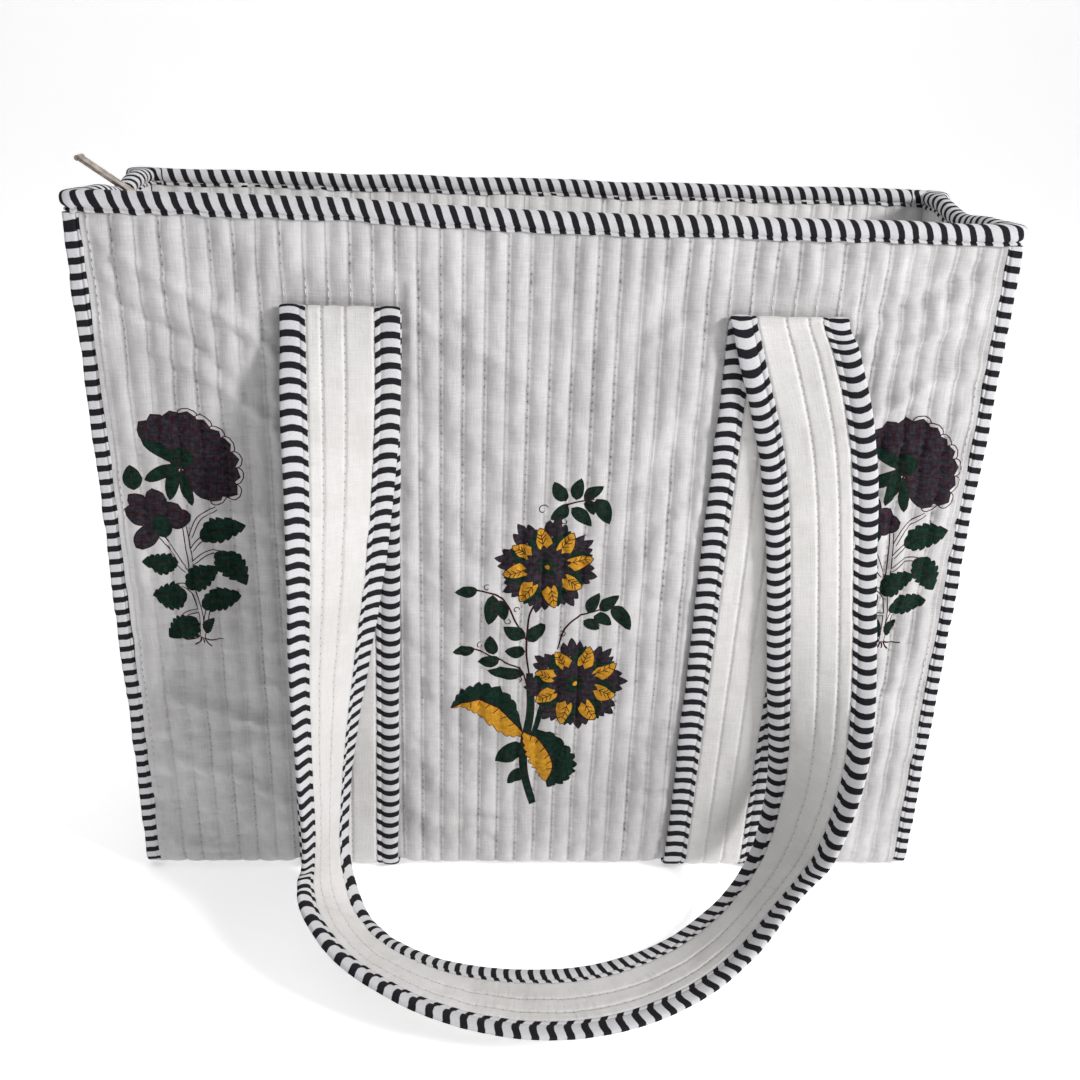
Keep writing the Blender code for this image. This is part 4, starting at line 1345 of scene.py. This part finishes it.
def layered_bloom(centre, size, turn):
    """Mustard petals edged with green, tufts of charcoal outside them and a charcoal star as the heart."""
    shapes = []
    for index in range(8):
        angle = turn + math.pi / 4 * (index + 0.5)
        reach = size * (1 + 0.04 * math.sin(7 * index + 3 * turn))
        for lean, share in ((-0.17, 0.90), (0.17, 0.92), (0.0, 1.0)):
            tuft = petal(centre, angle + lean, 0.60 * size, share * reach, 0.17 * size)
            shapes += outlined(tuft, "charcoal", 0.35)
        shapes += outlined(petal(centre, angle, 0.25 * size, 0.70 * size, 0.15 * size), "green", 0.35)
    for index in range(8):
        angle = turn + math.pi / 4 * index
        reach = size * (0.84 + 0.05 * math.cos(5 * index + turn))
        shapes += outlined(petal(centre, angle, 0.15 * size, reach, 0.37 * size, 0.25), "mustard", 0.55)
        shapes += feather(centre, angle, 0.44 * size, 0.92 * reach, 0.13)
        edge = [polar(centre, angle + 0.29, 0.38 * size), polar(centre, angle + 0.27, 0.60 * size),
                polar(centre, angle + 0.08, reach)]
        shapes.append((stroke(edge, 0.10 * size, 0.3, 10), "green"))
    for index in range(8):
        angle = turn + math.pi / 4 * (index + 0.5)
        star = petal(centre, angle, 0.05 * size, 0.54 * size, 0.20 * size)
        shapes += outlined(star, "charcoal", 0.4, "green")
    for index in range(8):
        angle = turn + math.pi / 4 * index
        shapes += outlined(petal(centre, angle, 0.05 * size, 0.46 * size, 0.17 * size), "charcoal", 0.35)
    for index in range(6):
        angle = turn + math.pi / 3 * index
        shapes += outlined(petal(centre, angle, 0.0, 0.25 * size, 0.11 * size), "green", 0.25)
    shapes.append((petal(centre, 0.0, -1.3, 1.3, 2.6, 1.0), "mustard"))
    return shapes


CENTRE_STEMS = [
    # width, ink, points
    (4.6, "maroon", [(-1, 45), (-6, 65), (-7, 82), (-4, 106), (-5, 128)]),
    (3.4, "green", [(-1, 45), (-6, 65), (-7, 82), (-4, 106), (-5, 128)]),
    (3.0, "green", [(-4, 84), (-1, 96), (2, 108), (5, 118)]),
    (1.1, "maroon", [(-5, 126), (-7, 140), (-7, 152), (-6, 164), (-2, 172)]),
    (1.0, "maroon", [(4, 213), (8, 221), (14, 225), (24, 227)]),
    (1.0, "maroon", [(-7, 148), (-13, 159), (-17, 168), (-23, 174), (-34, 177)]),
    (1.0, "maroon", [(-6, 120), (-10, 130), (-22, 136), (-34, 142)]),
    (1.0, "maroon", [(9, 143), (13, 157), (22, 164), (37, 169)]),
]
CENTRE_LEAVES = [
    # stalk, tip, width
    ((10, 226), (4, 236), 6.5), ((11, 223), (3, 216), 6.5), ((13, 222), (23, 213), 6.0),
    ((15, 227), (17, 238), 6.0), ((19, 227), (28, 234), 5.5), ((20, 226), (24, 219), 5.0),
    ((25, 227), (32, 214), 7.5), ((-33, 177), (-44, 175), 5.5), ((-25, 174), (-27, 157), 7.5),
    ((-22, 171), (-19, 160), 6.0), ((-8, 150), (-19, 156), 7.5), ((-6, 148), (2, 158), 7.5),
    ((-8, 142), (-18, 141), 7.0), ((-34, 142), (-45, 140), 5.0), ((-24, 139), (-26, 150), 6.5),
    ((-21, 136), (-32, 134), 6.0), ((-8, 127), (-27, 129), 7.0), ((24, 165), (29, 176), 6.0),
    ((30, 166), (39, 175), 6.0), ((22, 160), (30, 155), 6.0), ((27, 163), (36, 158), 6.5),
    ((36, 169), (46, 155), 7.5), ((-8, 85), (-22, 74), 10.0), ((-7, 69), (-15, 59), 7.5),
]
CURLS = [
    # centre, size, turn
    ((-1, 221), 3.0, 0.5), ((10, 215), 2.0, 2.0), ((-28, 178), 2.0, 1.0), ((-17, 160), 2.2, 3.0),
    ((11, 153), 2.4, 4.0), ((-31, 144), 2.0, 1.5), ((-11, 124), 2.4, 5.0), ((-13, 166), 1.8, 0.0),
]
LEFT_RIB = [(-8, 93), (-19, 106), (-32, 113), (-46, 108)]
RIGHT_RIB = [(-7, 93), (1, 88), (7, 79), (9, 70), (6, 61)]
BIG_LEAVES = [
    # rib, outer edge, teeth, ink
    (LEFT_RIB, [(-8, 94), (-14, 114), (-29, 122), (-41, 118), (-46, 108)], 11, "green"),
    (LEFT_RIB, [(-8, 89), (-18, 91), (-30, 102), (-38, 108), (-46, 108)], 10, "mustard"),
    (RIGHT_RIB, [(-6, 94), (8, 93), (19, 82), (22, 70), (16, 60), (6, 56)], 11, "green"),
    (RIGHT_RIB, [(-8, 91), (-6, 79), (0, 67), (5, 61)], 9, "mustard"),
]


def centre_motif():
    """Two layered blooms on one stem, with leafy sprigs and two large two-coloured leaves."""
    shapes = [(stroke(points, width, 0.8, 24), key) for width, key, points in CENTRE_STEMS]
    for base, tip, width in CENTRE_LEAVES:
        shapes += veined_leaf(base, tip, width, bend=0.6)
    for centre, size, turn in CURLS:
        shapes += curl(centre, size, turn)
    shapes += layered_bloom((2, 190), 26.5, 0.2)
    shapes += layered_bloom((19, 122), 27.5, 0.5)
    for rib, edge, teeth, key in BIG_LEAVES:
        shapes += edge_leaf(rib, edge, teeth, key)
    for rib, vein_side in ((LEFT_RIB, -1), (RIGHT_RIB, 1)):
        shapes.append((stroke(rib, 0.8, 0.5, 16), "maroon"))
        line = smooth_line(rib, 9)
        for here, ahead in zip(line[1:-2], line[2:-1]):
            along = unit(ahead - here)
            aside = np.array([along[1], -along[0]]) * vein_side
            shapes.append((stroke([here, here + 1.6 * along + 3.6 * aside], 0.55, 0.6, 5), "maroon"))
    return shapes


# The side motif's shapes are placed from the heart of its upper bloom.
FAN_TIPS = [(-18, 19), (-12, 23), (-3, 25), (5, 25), (12, 21), (18, 15), (23, 9), (26, 1), (26, -8),
            (24, -17), (16, -20)]
SMALL_HEART = (-13, -32)
SMALL_TIPS = [(-15, -14), (-27, -18), (-30, -26), (-26, -45), (1, -28), (-4, -22)]
SEPALS = [
    # base, angle, length, width
    ((0, 1), 1.5, 6.5, 12), ((-4, 2), 2.6, 16, 6), ((-4, -3), 3.6, 16, 6), ((-4, -4), 4.5, 16, 6),
    ((0, -9), 4.9, 14, 5), (SMALL_HEART, 4.9, 8, 9),
]
SIDE_LEAVES = [
    # stalk, tip, width
    ((5, -40), (27, -33), 12.5), ((12, -48), (25, -66), 12.5), ((-7, -53), (-24, -53), 11.0),
    ((-3, -67), (12, -56), 11.5), ((-4, -70), (-21, -72), 13.5), ((3, -77), (22, -72), 11.5),
    ((-1, -84), (-15, -95), 14.0), ((4, -92), (8, -84), 4.5),
]
SIDE_STEMS = [
    [(1, -95), (2, -82), (-1, -66), (-1, -52), (-2, -34)],
    [(2, -95), (4, -86), (6, -78), (9, -73), (16, -73)],
    [(0, -47), (5, -41), (16, -35)], [(0, -54), (8, -48), (18, -49)], [(0, -40), (5, -30), (14, -24)],
    [(-3, -58), (-9, -52), (-16, -52)], [(-4, -56), (-10, -44), (-16, -37)],
    [(0, -70), (-5, -65), (-12, -68)], [(1, -80), (-5, -81), (-9, -87)],
]
ROOTS = [
    [(1, -94), (-2, -96), (-6, -97)], [(1, -94), (0, -98), (-3, -100)], [(1, -94), (5, -96), (12, -96)],
    [(2, -94), (4, -98), (6, -100)], [(1, -94), (2, -97), (2, -99)],
]


def scallop(centre, angle, reach, width):
    """A petal edge printed a little outside the petal, with bare cloth (no ink) between."""
    edge = petal(centre, angle, 0.75 * reach, reach + 1.5, 0.72 * width, 1.0)
    return [(grown(edge, 0.55), "maroon"), (edge, None)]


def side_motif(x, z):
    """A fan-shaped bloom over a smaller one, on toothed leaves and roots. (x, z) is the bloom's heart."""
    shapes = [(stroke(line, 0.9, 0.6), "maroon") for line in ROOTS]
    shapes += [(stroke(line, 2.6, 0.8), "maroon") for line in SIDE_STEMS]
    shapes += [(stroke(line, 1.5, 0.8), None) for line in SIDE_STEMS]
    for base, tip, width in SIDE_LEAVES:
        shapes += veined_leaf(base, tip, 1.12 * width, 6, 1.2)
    shapes += veined_leaf((-24, -15), (-25, -3), 8.5)
    fan = [(math.atan2(tip_z, tip_x), math.hypot(tip_x, tip_z)) for tip_x, tip_z in FAN_TIPS]
    for angle, reach in fan[3:]:
        shapes += scallop((0, 0), angle, reach, 11.5)
    for angle, reach in fan:
        shapes += outlined(petal((0, 0), angle, 1.0, reach, 11.5, 1.0), "charcoal", 0.5)
        shapes += feather((0, 0), angle, 0.45 * reach, 0.92 * reach, 0.10)
    for index, angle in enumerate(np.linspace(-0.75, 2.35, 9)):
        shapes += outlined(petal((0, 0), angle, 1.0, 15.0 + 2 * (index % 2), 8.5, 1.0), "charcoal", 0.5)
    for tip in SMALL_TIPS:
        tip_x, tip_z = tip[0] - SMALL_HEART[0], tip[1] - SMALL_HEART[1]
        angle, reach = math.atan2(tip_z, tip_x), math.hypot(tip_x, tip_z)
        shapes += outlined(petal(SMALL_HEART, angle, 0.0, reach, 9.5, 0.8), "charcoal", 0.5)
        shapes += feather(SMALL_HEART, angle, 0.35 * reach, 0.9 * reach, 0.12)
    for base, angle, reach, width in SEPALS:
        shapes += outlined(petal(base, angle, -5.0, reach, width, 0.5), "green", 0.4)
    return [(outline + np.array([x, z]), key) for outline, key in shapes]


LEFT_BLOOM = (-173.5, 243)          # heart of each side motif's upper bloom
RIGHT_BLOOM = (176.5, 245.5)


def cloth_body():
    """The bag's quilted walls, inside and out, with the bindings along their edges."""
    motifs = [[(outline * MM, key) for outline, key in motif]
              for motif in (centre_motif(), side_motif(*LEFT_BLOOM), side_motif(*RIGHT_BLOOM))]
    for name, facing in (("front", -1), ("rear", 1)):
        piece = dress(panel(f"quilt_{name}", facing, motifs), "bag", "white_cotton")
        if facing < 0:
            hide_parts("body_outer", "body_wadding")
        sew_on(panel_stitches(f"quilting_thread_{name}", facing))
        inside = dress(lining(f"lining_{name}", facing), "bag", "white_cotton")
        if facing < 0:
            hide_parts("body_lining")
    for name, side in (("left", -1), ("right", 1)):
        outside = gusset(f"gusset_{name}_quilt", side, 0.0, CLOTH)
        dress(outside, "bag", "white_cotton", f"gusset_{name}_outer", f"gusset_{name}_wadding")
        sew_on(gusset_stitches(f"quilting_thread_{name}", side))
        inside = gusset(f"gusset_{name}_inside", side, WALL, LINING, 50, 130, LINING_PUFF)
        dress(inside, "bag", "white_cotton", f"gusset_{name}_lining")
        dress(seam(f"seam_binding_{name}_tape", side), "bag", "striped_binding", f"seam_binding_{name}")
    dress(rim(), "bag", "striped_binding", "rim_binding")


def sew_on(thread):
    """Stitches ride with the bag."""
    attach(thread, "bag")


def zip_hardware():
    """The slider and pull keep their CAD shape, with softened edges and a metal finish."""
    for name in ("zip_slider", "zip_pull"):
        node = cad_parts[name]
        node.data.materials.clear()
        node.data.materials.append(METAL)
        edges = node.modifiers.new("edges", "BEVEL")
        edges.width = 0.0003
        edges.segments = 2
        edges.limit_method = "ANGLE"


# ---- Studio
def add_light(name, place, target, size, power, colour):
    """A rectangular lamp that faces a target."""
    light = bpy.data.lights.new(name, "AREA")
    light.shape = "RECTANGLE"
    light.size, light.size_y = size
    light.energy = power
    light.color = colour
    lamp = bpy.data.objects.new(name, light)
    lamp.location = place
    lamp.rotation_euler = (Vector(target) - Vector(place)).to_track_quat("-Z", "Y").to_euler()
    bpy.context.scene.collection.objects.link(lamp)


def studio():
    """A pale floor that curves up into a backdrop, a small bright window and a wide ceiling lamp."""
    reach, behind, bend, low = 5.0, 1.6, 1.2, -0.0006
    turn = np.linspace(0, math.pi / 2, 17)
    profile = [(-reach, low)] + [(behind + bend * math.sin(t), low + bend * (1 - math.cos(t))) for t in turn]
    profile.append((behind + bend, reach))
    points = [(x, y, z) for y, z in profile for x in (-reach, reach)]
    floor = make_piece("floor", points, grid_faces(len(profile), 2)[:, ::-1], [floor_finish()])
    world = bpy.data.worlds.new("studio")
    world.use_nodes = True
    sky = world.node_tree.nodes["Background"]
    sky.inputs["Color"].default_value = (0.98, 0.985, 1.0, 1.0)
    sky.inputs["Strength"].default_value = 0.14
    bpy.context.scene.world = world
    add_light("window", (1.30, -0.85, 1.00), (0.0, 0, 0.15), (0.30, 0.4), 26, (1.0, 0.985, 0.98))
    add_light("ceiling", (-0.2, -0.1, 2.0), (0, 0.2, 0.0), (2.2, 2.2), 17, (0.99, 0.99, 1.0))
    bpy.context.scene.view_settings.view_transform = "Standard"


def floor_finish():
    """Matt white paint with a faint glow, which keeps the floor white in the photo's bright exposure."""
    shader = Shader("floor_paint", roughness=0.9)
    node = shader.tree.nodes.new("ShaderNodeTexCoord")
    grain = shader.noise(node.outputs["Object"], scale=3.0, detail=3.0)
    shader.colour(shader.mix(grain, (0.93, 0.93, 0.935), (0.95, 0.95, 0.95)))
    shader.surface.inputs["Emission Color"].default_value = (1.0, 1.0, 1.0, 1.0)
    shader.surface.inputs["Emission Strength"].default_value = 0.47
    return shader.material


def camera():
    """The viewpoint: a little above the rim, tipped down, with a slight turn and roll."""
    place = (-0.0296, -0.5854, 0.4339)
    pitch, yaw, roll = 0.40752, 0.051896, 0.035609
    forward = Vector((math.sin(yaw) * math.cos(pitch), math.cos(yaw) * math.cos(pitch), -math.sin(pitch)))
    level_right = Vector((math.cos(yaw), -math.sin(yaw), 0))
    level_up = level_right.cross(forward)
    right = math.cos(roll) * level_right + math.sin(roll) * level_up
    up = -math.sin(roll) * level_right + math.cos(roll) * level_up
    data = bpy.data.cameras.new("camera")
    data.lens, data.sensor_width = 38.77, 36.0
    data.clip_start, data.clip_end = 0.01, 50
    eye = bpy.data.objects.new("camera", data)
    turn = Matrix((right, up, -forward)).transposed().to_4x4()
    eye.matrix_world = Matrix.Translation(place) @ turn
    bpy.context.scene.collection.objects.link(eye)
    bpy.context.scene.camera = eye


camera()
studio()
cloth_body()
straps()
zip_flaps()
zip_hardware()
